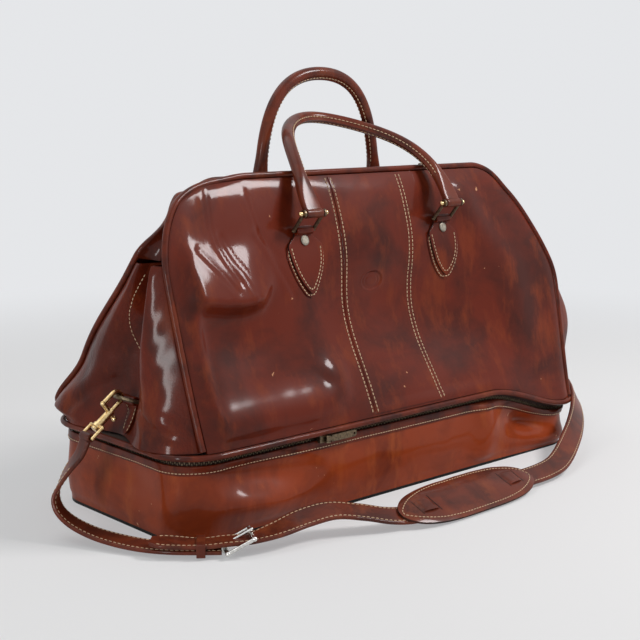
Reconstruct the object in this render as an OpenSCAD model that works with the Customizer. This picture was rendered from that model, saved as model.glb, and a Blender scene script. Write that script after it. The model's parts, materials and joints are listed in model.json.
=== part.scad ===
// Leather travel bag: a zip-topped body on a separate zipped lower compartment,
// with two rolled handles on shackles and a clip-on shoulder strap.
// Millimetres, +Z up, +X along the length, front at -Y, origin under the base's centre.

/* [Body] */
// Length of the base
base_l = 566; // [520:2:620]
// Depth of the base, front to back
base_d = 222; // [200:2:250]
// Corner radius of the base in plan
corner_r = 40; // [30:1:50]
// Height of the lower compartment's wall
wall_h = 71; // [60:1:85]
// Height of the top edge
bag_h = 326; // [300:2:350]
// Depth over the two top edges
top_d = 50; // [46:1:60]
// How far the top leans to the front
top_lean = 14; // [6:1:18]
// Forward pull of the rear panel's upper corners
top_pinch = 50; // [30:1:52]
// Height of the rounded shoulders
shoulder_h = 90; // [75:1:100]
// How far the shoulders run in along the top
shoulder_w = 73; // [60:1:80]
// Leather thickness of panels and walls
leather_t = 2.6; // [2:0.2:3]
// Inward sag of the front and rear panels
panel_sag = 6; // [2:1:10]
// Outward bulge of each half of a gusset
gusset_out = 18; // [10:1:24]
// Inward fold down the middle of a gusset
gusset_fold = 30; // [20:1:36]
// Height of a gusset's top edge
gusset_h = 250; // [240:2:262]

/* [Seams] */
// Radius of the piping
piping_r = 3; // [2:0.2:4]
// Clearance between pieces that are sewn together
seam = 0.3; // [0.2:0.1:0.6]
// Overhang of the upper body past the lower wall
overhang = 6; // [4:0.5:9]
// Half width of the band down the middle of each panel
band_w = 50; // [40:1:60]

/* [Zips] */
// Open height between the lower wall and the body, filled by the lower zip
zip_gap = 8; // [7:0.5:10]
// Position of the lower slider along the front
low_slider_x = -118; // [-160:2:160]
// Position of the top slider along the top
top_slider_x = 120; // [-140:2:140]
// Depth of the top zip below the top edge
top_recess = 6; // [5:0.5:9]

/* [Handles] */
// Distance of each end of the front handle from the middle
handle_x = 100; // [85:1:110]
// Distance of each end of the rear handle from the middle
rear_handle_x = 84; // [76:1:95]
// Radius of the rolled grip
handle_r = 6.2; // [5:0.2:7]
// Length of the front handle along its lean
front_handle_l = 152; // [140:1:165]
// Length of the rear handle along its lean
rear_handle_l = 132; // [122:1:145]
// Height of the tab folds that hold the shackles
fold_z = 272; // [266:1:278]
// Wire radius of shackles and rings
wire_r = 1.9; // [1.6:0.1:2.2]
// Half width between the shackle arms
shackle_w = 12.9; // [12:0.1:15]
// Length of a shackle from fold to pin
shackle_l = 23; // [21:0.5:26]
// Angle of the front shackles above horizontal
front_shackle_a = 49; // [40:1:60]
// Inward lean of the rear shackles
rear_shackle_a = 8; // [4:1:10]
// Length of a handle tab
tab_l = 66; // [55:1:75]
// Half width of a handle tab at its widest
tab_w = 22; // [18:1:26]

/* [Strap] */
// Strap width
strap_w = 24; // [20:1:28]
// Strap thickness
strap_t = 3.6; // [3:0.2:4]
// Height of the ring tabs' folds on the gussets
ring_z = 120; // [112:1:130]
// Position of the rings from front to back
ring_y = -12; // [-16:1:-6]
// Radius of the half-round rings
ring_r = 14; // [13:0.5:16]
// Length of the shoulder pad
pad_l = 196; // [160:2:210]
// Width of the shoulder pad
pad_w = 54; // [46:1:60]

/* [Hidden] */
$fn = 32;

base_t = 3;
board_t = 3;
z_low = wall_h + zip_gap + piping_r;
z_sh = bag_h - shoulder_h;
low_z = z_low + piping_r + seam;
side_w = base_l / 2 - 15;
top_w = side_w - shoulder_w;
foot_in = 6;
loop_r = corner_r + overhang;
inset = piping_r + seam;
fold_r = wire_r + 2.5;
tab_t = 3;
tab_gap = 0.5;
run_gap = 0.08;

leather = [0.40, 0.13, 0.07];
leather_dark = [0.24, 0.09, 0.06];
black = [0.06, 0.05, 0.05];
cloth = [0.16, 0.10, 0.08];
brass = [0.72, 0.55, 0.28];
bronze = [0.28, 0.22, 0.16];
pewter = [0.50, 0.47, 0.42];
steel = [0.72, 0.72, 0.72];

// Small vector helpers
function unit(v) = v / norm(v);
function bump(q, c, h) = pow(max(0, 1 - pow((q - c) / h, 2)), 2);
function smooth(q) = let(c = min(1, max(0, q))) c * c * (3 - 2 * c);
function flat(rows) = [for (r = rows) each r];

// Shape of the soft upper body
function rise(z) = (z - z_low) / (bag_h - z_low);
function half_d(z, e) = top_d / 2 + (base_d / 2 + overhang - top_d / 2) * pow(max(0, 1 - rise(z)), e);
function lean(z) = top_lean * rise(z);
function edge_w(z) = z <= z_sh
  ? side_w - foot_in * pow(1 - (z - z_low) / (z_sh - z_low), 2)
  : top_w + shoulder_w * sqrt(max(0, 1 - pow((z - z_sh) / shoulder_h, 2)));
function turn_in(x) = let(a = min(max(0, abs(x) - (base_l / 2 - corner_r)), 0.8 * loop_r))
  loop_r - sqrt(loop_r * loop_r - a * a);
function sag(x, z) = panel_sag * (1 - pow(x / side_w, 2)) * sin(180 * rise(z)) * 2 * (1 - rise(z));
function dip(x, z) = sag(x, z) + turn_in(x) * pow(1 - rise(z), 2);
function front_y(x, z) = dip(x, z) - half_d(z, 0.9) - lean(z);
function pinch(x, z) = top_pinch * smooth((abs(x) - top_w) / 55) * smooth((z - z_low - 68) / 120)
  * (1 - 0.5 * smooth((z - bag_h + 51) / 45));
function rear_y(x, z) = half_d(z, 1.4) - dip(x, z) - lean(z) - pinch(x, z);
function mid_y(x, z) = (front_y(x, z) + rear_y(x, z)) / 2;

// Outline of a panel: half width, height and outward normal, from the foot to the top
rows_z = [0, 0.14, 0.32, 0.52, 0.76, 1];
outline = concat(
  [for (k = rows_z) let(z = low_z + (z_sh - low_z) * k) [edge_w(z), z, 1, 0]],
  [for (k = [1:8]) let(a = k * 11.25, n = unit([cos(a) / shoulder_w, sin(a) / shoulder_h]))
    [top_w + shoulder_w * cos(a), z_sh + shoulder_h * sin(a), n[0], n[1]]]);

// A sheet between an outer and an inner grid of points, and a tube through rings of points
module sheet(outer, inner, flip = false) {
  n = len(outer);
  m = len(outer[0]);
  q = n * m;
  top = [for (i = [0:n - 2], j = [0:m - 2]) each [
    [i * m + j, i * m + j + 1, (i + 1) * m + j + 1], [i * m + j, (i + 1) * m + j + 1, (i + 1) * m + j]]];
  low = [for (f = top) [f[2] + q, f[1] + q, f[0] + q]];
  rim = concat([for (j = [0:m - 2]) j], [for (i = [0:n - 2]) i * m + m - 1],
    [for (j = [m - 1:-1:1]) (n - 1) * m + j], [for (i = [n - 1:-1:1]) i * m]);
  side = [for (k = [0:len(rim) - 1]) let(a = rim[k], b = rim[(k + 1) % len(rim)])
    each [[b, a, a + q], [b, a + q, b + q]]];
  faces = concat(top, low, side);
  polyhedron(concat(flat(outer), flat(inner)), flip ? faces : [for (f = faces) [f[2], f[1], f[0]]]);
}
module tube(rings) {
  n = len(rings);
  m = len(rings[0]);
  side = [for (i = [0:n - 2], j = [0:m - 1]) let(a = i * m + j, b = i * m + (j + 1) % m)
    each [[a, b + m, b], [a, a + m, b + m]]];
  polyhedron(flat(rings), concat(side, [[for (j = [0:m - 1]) j]], [[for (j = [m - 1:-1:0]) (n - 1) * m + j]]));
}
// Lower compartment
module plan(grow) {
  r = corner_r + grow;
  cx = base_l / 2 - corner_r;
  cy = base_d / 2 - corner_r;
  square([2 * (cx + r), 2 * cy], center = true);
  square([2 * cx, 2 * (cy + r)], center = true);
  for (sx = [-1, 1], sy = [-1, 1]) translate([sx * cx, sy * cy]) circle(r, $fn = 64);
}
module band(z0, z1, outer, inner) {
  translate([0, 0, z0]) linear_extrude(z1 - z0) difference() {
    plan(outer);
    plan(inner);
  }
}
module base_panel() color(black) linear_extrude(base_t) plan(0);
module base_board() color(cloth) translate([0, 0, base_t]) linear_extrude(board_t) plan(-leather_t - seam);
module lower_wall() color(leather) band(base_t, wall_h, 0, -leather_t);
module divider_floor() color(cloth) translate([0, 0, z_low - 1]) linear_extrude(leather_t)
  plan(overhang - piping_r - seam);
module lower_zip() color(cloth) {
  band(wall_h - 13, z_low - 1 - seam, -leather_t - 0.2, -leather_t - 1.4);
  band(wall_h + 2.5, wall_h + 5.5, -leather_t + 1.3, -leather_t - 0.8);
}
module lower_piping() color(leather_dark) {
  cx = base_l / 2 - corner_r;
  cy = base_d / 2 - corner_r;
  for (s = [-1, 1]) {
    translate([-cx, s * (cy + loop_r), z_low]) rotate([0, 90, 0]) cylinder(r = piping_r, h = 2 * cx);
    translate([s * (cx + loop_r), cy, z_low]) rotate([90, 0, 0]) cylinder(r = piping_r, h = 2 * cy);
  }
  for (k = [0:3]) translate([(k == 0 || k == 3 ? 1 : -1) * cx, (k < 2 ? 1 : -1) * cy, z_low])
    rotate([0, 0, 90 * k]) rotate_extrude(angle = 90) translate([loop_r, 0]) circle(piping_r);
}

// Upper body panels, front at s = -1 and rear at s = 1
function skin_y(s, x, z) = s < 0 ? front_y(x, z) : rear_y(x, z);
cols = 24;
module panel(s) {
  rim = [for (p = outline) [p[0] - p[2] * inset, p[1] - p[3] * inset]];
  rows = concat([[rim[0][0], low_z]], [for (k = [1:len(rim) - 1]) rim[k]]);
  grid = [for (r = rows) [for (j = [0:cols]) let(x = r[0] * sin(180 * j / cols - 90)) [x, skin_y(s, x, r[1]), r[1]]]];
  sheet(grid, [for (r = grid) [for (p = r) p - [0, s * leather_t, 0]]], s > 0);
}
module front_panel() color(leather) panel(-1);
module rear_panel() color(leather) panel(1);
module middle_band(s) {
  z1 = bag_h - inset - 3;
  z0 = low_z + 4;
  grid = [for (i = [0:12]) let(z = z0 + (z1 - z0) * i / 12)
    [for (j = [-3:3]) let(x = band_w * j / 3) [x, skin_y(s, x, z) + s * 1.7, z]]];
  sheet(grid, [for (r = grid) [for (p = r) p - [0, s * 1.2, 0]]], s > 0);
}
module front_band() color(leather) middle_band(-1);
module rear_band() color(leather) middle_band(1);

// Piping along the edge of a panel
function seam_y(s, w, z) = skin_y(s, w, z) - s * leather_t / 2;
function edge_path(s) = let(
  z0 = low_z + piping_r + seam,
  side = [for (p = outline) if (p[1] > z0 + 2) [p[0], seam_y(s, p[0], p[1]), p[1]]],
  up = concat([[edge_w(z0), seam_y(s, edge_w(z0), z0), z0]], side))
  concat([for (p = up) [-p[0], p[1], p[2]]], [for (k = [len(up) - 1:-1:0]) up[k]]);
module edge_piping(s) {
  path = edge_path(s);
  n = len(path);
  tube([for (i = [0:n - 1]) let(
    t = unit(path[min(n - 1, i + 1)] - path[max(0, i - 1)]),
    u = unit(cross(t, [0, 1, 0])), v = cross(t, u))
    [for (k = [0:7]) path[i] + piping_r * (cos(45 * k) * u + sin(45 * k) * v)]]);
}
module front_piping() color(leather_dark) edge_piping(-1);
module rear_piping() color(leather_dark) edge_piping(1);

// End gussets, left at s = -1 and right at s = 1
function edge_slope(z) = (seam_y(1, edge_w(z + 1), z + 1) - seam_y(1, edge_w(z - 1), z - 1)) / 2;
function gusset_y(q, z) = let(w = edge_w(z), a = seam_y(-1, w, z) + inset + 0.5,
  b = seam_y(1, w, z) - (inset + 0.6) * sqrt(1 + pow(edge_slope(z), 2)))
  a + (b - a) * q;
function gusset_q(y, z) = (y - gusset_y(0, z)) / (gusset_y(1, z) - gusset_y(0, z));
function gusset_x(q, z) = let(t = (z - z_low) / (gusset_h - z_low), v = sin(180 * (0.15 + 0.75 * t)))
  edge_w(z) + gusset_out * v * (bump(q, 0.24, 0.28) + 0.5 * bump(q, 0.76, 0.28))
  - gusset_fold * (0.3 + 0.7 * t) * bump(q, 0.5, 0.3)
  + (base_l / 2 + overhang - side_w + foot_in) * pow(max(0, 1 - t), 4.6) * (1 - pow(abs(2 * q - 1), 8));
module gusset(s) {
  grid = [for (i = [0:9]) let(z = low_z + (gusset_h - low_z) * i / 9)
    [for (j = [0:24]) [s * gusset_x(j / 24, z), gusset_y(j / 24, z), z]]];
  sheet(grid, [for (r = grid) [for (p = r) p - [s * leather_t, 0, 0]]], s < 0);
}
module left_gusset() color(leather) gusset(-1);
module right_gusset() color(leather) gusset(1);
module zip_end(s) {
  grid = [for (i = [0:3]) let(z = gusset_h - 14 + 4.5 * i, zs = min(z, gusset_h))
    [for (j = [0:6]) let(q = 0.32 + 0.06 * j) [s * (gusset_x(q, zs) + 2), gusset_y(q, zs), z]]];
  sheet(grid, [for (r = grid) [for (p = r) p - [s * 1.5, 0, 0]]], s < 0);
}
module left_zip_end() color(leather_dark) zip_end(-1);
module right_zip_end() color(leather_dark) zip_end(1);

// Zip facings over the top and down both shoulders
shoulder_a = asin((gusset_h + 4 - z_sh) / shoulder_h);
over_top = let(side = [for (k = [0:8]) let(a = shoulder_a + (90 - shoulder_a) * k / 8,
  n = unit([cos(a) / shoulder_w, sin(a) / shoulder_h]))
  [top_w + shoulder_w * cos(a), z_sh + shoulder_h * sin(a), n[0], n[1], top_recess + 9 * pow(cos(a), 2)]])
  concat([for (p = side) [-p[0], p[1], -p[2], p[3], p[4]]], [for (k = [8:-1:0]) side[k]]);
zip_half = 4.6;
function facing_rows(s, d) = [for (p = over_top)
  let(a = seam_y(s, abs(p[0]), p[1]) - s * inset, b = s * zip_half + mid_y(p[0], p[1]))
  [for (c = [0, 0.5, 1]) let(e = p[4] * pow(c, 0.7) + d) [p[0] - p[2] * e, a + (b - a) * c, p[1] - p[3] * e]]];
module facing(s) sheet(facing_rows(s, 0), facing_rows(s, leather_t), s < 0);
module front_zip_facing() color(leather) facing(-1);
module rear_zip_facing() color(leather) facing(1);
chain_h = leather_t - 0.3;
chain = [[-8, 0], [-3.1, 0], [-2.6, chain_h], [2.6, chain_h], [3.1, 0], [8, 0]];
function tape_rows(d, k) = [for (p = over_top) [for (c = chain) let(e = p[4] + leather_t + 0.3 + d - k * c[1])
  [p[0] - p[2] * e, c[0] + mid_y(p[0], p[1]), p[1] - p[3] * e]]];
module top_zip() color(cloth) sheet(tape_rows(0, 1), tape_rows(1.2, 0), true);

// Sliders and pulls of the two zips: local x along the zip, y outwards, z across
module slider_body(h, out) {
  translate([-8, 0, -h / 2]) cube([16, out, h]);
  for (s = [-1, 1]) translate([-2.5, out - 0.5, s * (h / 2 - 0.7) - 0.7]) cube([5, 3.2, 1.4]);
  for (s = [-1, 1]) translate([0, out + 2.7, s * (h / 2 - 0.7) - 0.7]) cylinder(r = 2.5, h = 1.4);
  translate([0, out + 2.7, -h / 2 + 0.7]) cylinder(r = 1, h = h - 1.4);
}
module pull_body(h, out, l) {
  translate([0, out + 2.7, 0]) difference() {
    union() {
      translate([0, 0, -h / 2 + 1.7]) cylinder(r = 2.1, h = h - 3.4);
      translate([1.2, -0.8, -h / 2 + 1.7]) cube([4, 1.6, h - 3.4]);
      translate([4.5, -0.8, -h / 2 + 0.3]) cube([l - 4.5 - h / 2, 1.6, h - 0.6]);
      translate([l - h / 2, 0.8, 0]) rotate([90, 0, 0]) cylinder(r = h / 2 - 0.3, h = 1.6);
    }
    translate([0, 0, -h]) cylinder(r = 1 + run_gap, h = 2 * h);
    translate([l - h / 2, 2, 0]) rotate([90, 0, 0]) cylinder(r = 1.3, h = 4);
  }
}
module at_low_zip() translate([low_slider_x, -base_d / 2 + 1, wall_h + zip_gap / 2]) mirror([0, 1, 0]) children();
module lower_zip_slider() color(bronze) at_low_zip() slider_body(zip_gap - 0.8, 6);
module lower_zip_pull() color(bronze) at_low_zip() pull_body(zip_gap - 0.8, 6, 38);
module at_top_zip() translate([top_slider_x, -lean(bag_h), bag_h - top_recess - 0.3]) rotate([90, 0, 180]) children();
module top_zip_slider() color(bronze) at_top_zip() slider_body(8, 4);
module top_zip_pull() color(bronze) at_top_zip() pull_body(8, 4, 32);

// Handle tabs: a leaf sewn to the panel, folded round the shackle's bar
function end_x(s) = s < 0 ? handle_x : rear_handle_x;
function fold_y(s) = skin_y(s, end_x(s), fold_z) + s * (tab_gap + fold_r);
function leaf(d) = let(n = shackle_w - wire_r - 0.4)
  d < tab_l * 0.4 ? n + (tab_w - n) * smooth((d - 6) / (tab_l * 0.4 - 6))
  : max(1.5, tab_w * pow(1 - pow((d - tab_l * 0.4) / (tab_l * 0.6), 1.7), 0.8));
module rivet_at(s, x) {
  z = fold_z - 10;
  tilt = atan2(s * (skin_y(s, x, z - 4) - skin_y(s, x, z + 4)), 8);
  translate([x, skin_y(s, x, z) + s * (tab_gap + tab_t), z]) rotate([s * (tilt - 90), 0, 0]) children();
}
module tab(s, x) difference() {
  union() {
    grid = [for (i = [0:14]) let(d = 3.2 + (tab_l - 3.2) * i / 14, z = fold_z - 0.94 * d)
      [for (j = [-2:2]) let(u = x + leaf(d) * j / 2) [u, skin_y(s, u, z) + s * (tab_gap + tab_t), z]]];
    sheet(grid, [for (r = grid) [for (p = r) p - [0, s * tab_t, 0]]], s < 0);
    translate([x - shackle_w + wire_r + 0.4, fold_y(s), fold_z]) rotate([0, 90, 0])
      cylinder(r = fold_r, h = 2 * (shackle_w - wire_r - 0.4));
  }
  translate([x - 30, fold_y(s), fold_z]) rotate([0, 90, 0]) cylinder(r = wire_r + run_gap, h = 60);
  rivet_at(s, x) translate([0, 0, -10]) cylinder(r = 2.1, h = 20);
}
module front_left_tab() color(leather) tab(-1, -handle_x);
module front_right_tab() color(leather) tab(-1, handle_x);
module rear_left_tab() color(leather) tab(1, -rear_handle_x);
module rear_right_tab() color(leather) tab(1, rear_handle_x);
module tab_rivets() color(pewter) for (s = [-1, 1], k = [-1, 1]) rivet_at(s, k * end_x(s)) {
  translate([0, 0, -2.6]) cylinder(r = 2, h = 3.1);
  translate([0, 0, 0.3]) cylinder(r = 5, h = 1);
  translate([0, 0, 1.3]) cylinder(r1 = 5, r2 = 3.6, h = 0.7);
}

// Shackles and their ball-ended pins
function pin_dir(s) = s < 0 ? [0, -cos(front_shackle_a), sin(front_shackle_a)]
  : [0, -sin(rear_shackle_a), cos(rear_shackle_a)];
function fold_at(s, x) = [x, fold_y(s), fold_z];
function pin_at(s, x) = fold_at(s, x) + shackle_l * pin_dir(s);
function pin_turn(s) = s < 0 ? 90 - front_shackle_a : rear_shackle_a;
module shackle(s, x) translate(fold_at(s, x)) rotate([pin_turn(s), 0, 0]) {
  translate([-shackle_w, 0, 0]) rotate([0, 90, 0]) cylinder(r = wire_r, h = 2 * shackle_w);
  for (k = [-1, 1]) translate([k * shackle_w, 0, 0]) {
    rotate([0, 0, 90 - 90 * k]) sphere(wire_r + 0.2);
    cylinder(r = wire_r, h = shackle_l - 2.6);
    translate([-1.1, 0, shackle_l]) rotate([0, 90, 0]) difference() {
      cylinder(r = 4, h = 2.2);
      translate([0, 0, -1]) cylinder(r = wire_r + 0.1 + run_gap, h = 5);
    }
  }
}
module pin(s, x) translate(pin_at(s, x)) {
  translate([-shackle_w - 3.5, 0, 0]) rotate([0, 90, 0]) cylinder(r = wire_r + 0.1, h = 2 * shackle_w + 7);
  for (k = [-1, 1]) translate([k * (shackle_w + 3.6), 0, 0]) rotate([0, 90, 0]) sphere(2.4);
}
module front_left_shackle() color(bronze) shackle(-1, -handle_x);
module front_right_shackle() color(bronze) shackle(-1, handle_x);
module rear_left_shackle() color(bronze) shackle(1, -rear_handle_x);
module rear_right_shackle() color(bronze) shackle(1, rear_handle_x);
module front_left_pin() color(brass) pin(-1, -handle_x);
module front_right_pin() color(brass) pin(-1, handle_x);
module rear_left_pin() color(brass) pin(1, -rear_handle_x);
module rear_right_pin() color(brass) pin(1, rear_handle_x);

// Rolled handles: an arch drawn in width and run, bent along its lean
function lean_at(s, r) = s < 0 ? 31 + 36 * (1 - cos(180 * min(1, r / 125))) / 2 : -1;
function run_y(s, r) = r / 16 * [for (k = [0:15]) sin(lean_at(s, r * (k + 0.5) / 16))] * [for (k = [0:15]) 1];
function run_z(s, r) = r / 16 * [for (k = [0:15]) cos(lean_at(s, r * (k + 0.5) / 16))] * [for (k = [0:15]) 1];
function bend(p, t) = pow(1 - t, 3) * p[0] + 3 * pow(1 - t, 2) * t * p[1] + 3 * (1 - t) * t * t * p[2] + pow(t, 3) * p[3];
function arch(s) = s < 0
  ? [[handle_x, 0], [1.05 * handle_x, 0.52 * front_handle_l], [0.46 * handle_x, front_handle_l], [0, front_handle_l]]
  : [[rear_handle_x, 0], [0.95 * rear_handle_x, 0.42 * rear_handle_l], [0.93 * rear_handle_x, rear_handle_l],
    [0, rear_handle_l]];
function grip_at(s, k) = let(t = 1 - abs(k), p = bend(arch(s), t))
  pin_at(s, 0) + [sign(k) * p[0], run_y(s, p[1]), run_z(s, p[1])];
loop_w = shackle_w - wire_r - 0.4;
module handle(s) difference() {
  union() {
    n = 22;
    tube([for (i = [-n:n]) let(
      k = i / n * 0.986, r = bend(arch(s), 1 - abs(k))[1], c = grip_at(s, k),
      t = unit(grip_at(s, k + 0.004) - grip_at(s, k - 0.004)),
      m = [0, -cos(lean_at(s, r)), sin(lean_at(s, r))], w = unit(cross(m, t)), e = smooth((r - 6) / 44),
      a = handle_r * e + loop_w * (1 - e), b = handle_r * e + 3.4 * (1 - e))
      [for (j = [0:11]) c + a * cos(30 * j) * w + b * sin(30 * j) * cross(t, w)]]);
    for (x = [-end_x(s), end_x(s)]) translate(pin_at(s, x) - [loop_w, 0, 0]) rotate([0, 90, 0])
      cylinder(r = 4.6, h = 2 * loop_w);
  }
  for (x = [-end_x(s), end_x(s)]) translate(pin_at(s, x) - [20, 0, 0]) rotate([0, 90, 0])
    cylinder(r = wire_r + 0.1 + run_gap, h = 40);
}
module front_handle() color(leather) handle(-1);
module rear_handle() color(leather) handle(1);

// Ring tabs on the gussets, half-round rings and bolt snaps, drawn on the left and mirrored
ring_tab_l = ring_z - z_low - piping_r - 7;
ring_tab_w = 11.2;
ring_seat = max([for (d = [-ring_r, -ring_tab_w, 0, ring_tab_w, ring_r])
  gusset_x(gusset_q(ring_y + d, ring_z), ring_z) - (abs(d) > ring_tab_w ? 1.5 : 0)]);
ring_x = -ring_seat - tab_gap - fold_r;
ring_up = 20;
hook_a = 36;
ring_out = [ring_x, ring_y, ring_z] + ring_r * [-cos(ring_up), 0, sin(ring_up)];
hook_up = [cos(hook_a), 0, sin(hook_a)];
hook_side = [-sin(hook_a), 0, cos(hook_a)];
hook_at = ring_out - 37.4 * hook_up - 6 * hook_side;
strap_end = hook_at - 9 * hook_up;
eye_w = 9.5;
eye_r = 1.7;
module ring_tab() difference() {
  union() {
    grid = [for (i = [0:8]) let(
      d = 3.3 + ring_tab_l * i / 8, z = ring_z - d, h = (ring_tab_w - 0.3) * pow(1 - pow(i / 8.2, 3), 0.6))
      [for (j = [-2:2]) let(y = ring_y + h * j / 2, x = gusset_x(gusset_q(y, z), z),
        e = max(0, 1 - i / 3) * max(0, ring_seat - x))
        [-x - 0.8 - tab_t - e, y, z]]];
    sheet(grid, [for (r = grid) [for (p = r) p + [tab_t, 0, 0]]]);
    translate([ring_x, ring_y + ring_tab_w, ring_z]) rotate([90, 0, 0]) cylinder(r = fold_r, h = 2 * ring_tab_w);
  }
  translate([ring_x, ring_y + 20, ring_z]) rotate([90, 0, 0]) cylinder(r = wire_r + run_gap, h = 40);
}
module ring() translate([ring_x, ring_y, ring_z]) rotate([0, ring_up, 0]) {
  translate([0, ring_r, 0]) rotate([90, 0, 0]) cylinder(r = wire_r, h = 2 * ring_r);
  rotate([0, 0, 90]) rotate_extrude(angle = 180) translate([ring_r, 0]) circle(wire_r);
  for (k = [-1, 1]) translate([0, k * ring_r, 0]) sphere(wire_r + 0.2);
}
module at_hook() translate(hook_at) rotate([0, 90 - hook_a, 0]) rotate([0, 0, 180]) children();
module hook() at_hook() difference() {
  union() {
    translate([0, 0, 7]) cylinder(r = 3.7, h = 18);
    translate([0, 0, 22.4]) rotate([0, 90, 0]) cylinder(r = 2.4, h = 12);
    translate([12, 0, 22.4]) sphere(2.6);
    translate([12, 0, 22.4]) cylinder(r = 2.2, h = 13.6);
    translate([6, 0, 36]) rotate([90, 0, 0]) rotate_extrude(angle = 180) translate([6, 0]) circle(2.2);
    translate([0, 0, 33]) cylinder(r = 2.2, h = 3);
    translate([0, 0, 1.2]) cylinder(r = 2, h = 6);
    translate([0, 0, 0.4]) cylinder(r = 3.4, h = 2.2);
  }
  translate([0, 0, 13]) cylinder(r = 2 + run_gap, h = 13);
  translate([-6, -1.7, 14]) cube([6, 3.4, 12]);
}
module hook_bolt() at_hook() {
  translate([0, 0, 20]) cylinder(r = 2, h = 12.7);
  translate([0, 0, 22]) rotate([0, -90, 0]) {
    cylinder(r = 1.3, h = 6);
    translate([0, 0, 6]) cylinder(r1 = 1.7, r2 = 2.6, h = 1.2);
    translate([0, 0, 7.2]) cylinder(r = 2.6, h = 1.6);
    translate([0, 0, 8.8]) cylinder(r1 = 2.6, r2 = 1.6, h = 1.2);
  }
}
module hook_eye() at_hook() {
  difference() {
    union() {
      translate([0, 0, 2.9]) cylinder(r = 4.4, h = 3.8);
      translate([0, eye_w, 4.8]) rotate([90, 0, 0]) cylinder(r = eye_r, h = 2 * eye_w);
    }
    translate([0, 0, -1]) cylinder(r = 2 + run_gap, h = 12);
  }
  for (k = [-1, 1]) translate([0, k * eye_w, 0]) {
    translate([0, 0, 4.8]) sphere(eye_r + 0.2);
    translate([0, 0, -9]) sphere(eye_r + 0.2);
    translate([0, 0, -9]) cylinder(r = eye_r, h = 13.8);
  }
  translate([0, eye_w, -9]) rotate([90, 0, 0]) cylinder(r = eye_r, h = 2 * eye_w);
}
module left_ring_tab() color(leather) ring_tab();
module right_ring_tab() color(leather) mirror([1, 0, 0]) ring_tab();
module left_ring() color(bronze) ring();
module right_ring() color(bronze) mirror([1, 0, 0]) ring();
module left_hook() color(brass) hook();
module right_hook() color(brass) mirror([1, 0, 0]) hook();
module left_hook_bolt() color(brass) hook_bolt();
module right_hook_bolt() color(brass) mirror([1, 0, 0]) hook_bolt();
module left_hook_eye() color(brass) hook_eye();
module right_hook_eye() color(brass) mirror([1, 0, 0]) hook_eye();

// Strap: two ribbons swept through their routes of centre, width direction and width
module bar(a, b, r) {
  d = b - a;
  translate(a) rotate([0, acos(d[2] / norm(d)), atan2(d[1], d[0])]) cylinder(r = r, h = norm(d));
}
function moved(p) = [p[0] + sign(p[0]) * (base_l - 566) / 2, p[1] - (base_d - 222) / 2, p[2]];
function mirrored(p) = [-p[0], p[1], p[2]];
module ribbon(route) {
  n = len(route);
  e = strap_t / 2;
  tube([for (i = [0:n - 1]) let(
    t = unit(route[min(n - 1, i + 1)][0] - route[max(0, i - 1)][0]), d = route[i][1],
    w = unit(d - (d * t) * t), v = cross(t, w), h = route[i][2] * strap_w / 48)
    [for (c = [[h, -e / 2], [h, e / 2], [h - 1, e], [1 - h, e], [-h, e / 2], [-h, -e / 2], [1 - h, -e], [h - 1, -e]])
      route[i][0] + c[0] * w + c[1] * v]]);
}
buckle_at = moved([-252, -147, 11.5]);
along = unit([0.88, -0.48, 0]);
across = [-along[1], along[0], 0];
near_bar = buckle_at - 12 * along - [0, 0, 6];
far_bar = buckle_at + 12 * along + [0, 0, 6];
buckle_r = 2;
end_fold = 15;
short_route = concat(
  [[strap_end + 3.4 * unit([-5, 0, -8.4]), [0, 1, 0], end_fold]],
  [for (r = [
    [[-328, -10, 77], [0.12, 1, 0], 16],
    [[-336, -5, 65], [0.35, 0.93, -0.03], 20],
    [[-343, -1, 52], [0.55, 0.83, -0.06], 24],
    [[-348, 1, 39], [0.66, 0.75, -0.08], 24],
    [[-348, -5, 27], [0.7, 0.71, -0.08], 24],
    [[-343, -18, 17.5], [0.72, 0.69, -0.04], 24],
    [[-335, -38, 11], [0.72, 0.69, 0], 24],
    [[-325, -61, 7.5], [0.72, 0.69, 0.04], 24],
    [[-313, -86, 6], [0.7, 0.71, 0.05], 24],
    [[-298, -110, 6], [0.66, 0.75, 0.03], 24],
    [[-280, -129, 6], [0.6, 0.8, 0], 24]]) [moved(r[0]), r[1], r[2]]],
  [[near_bar - 3.4 * along, across, 24]]);
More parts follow.
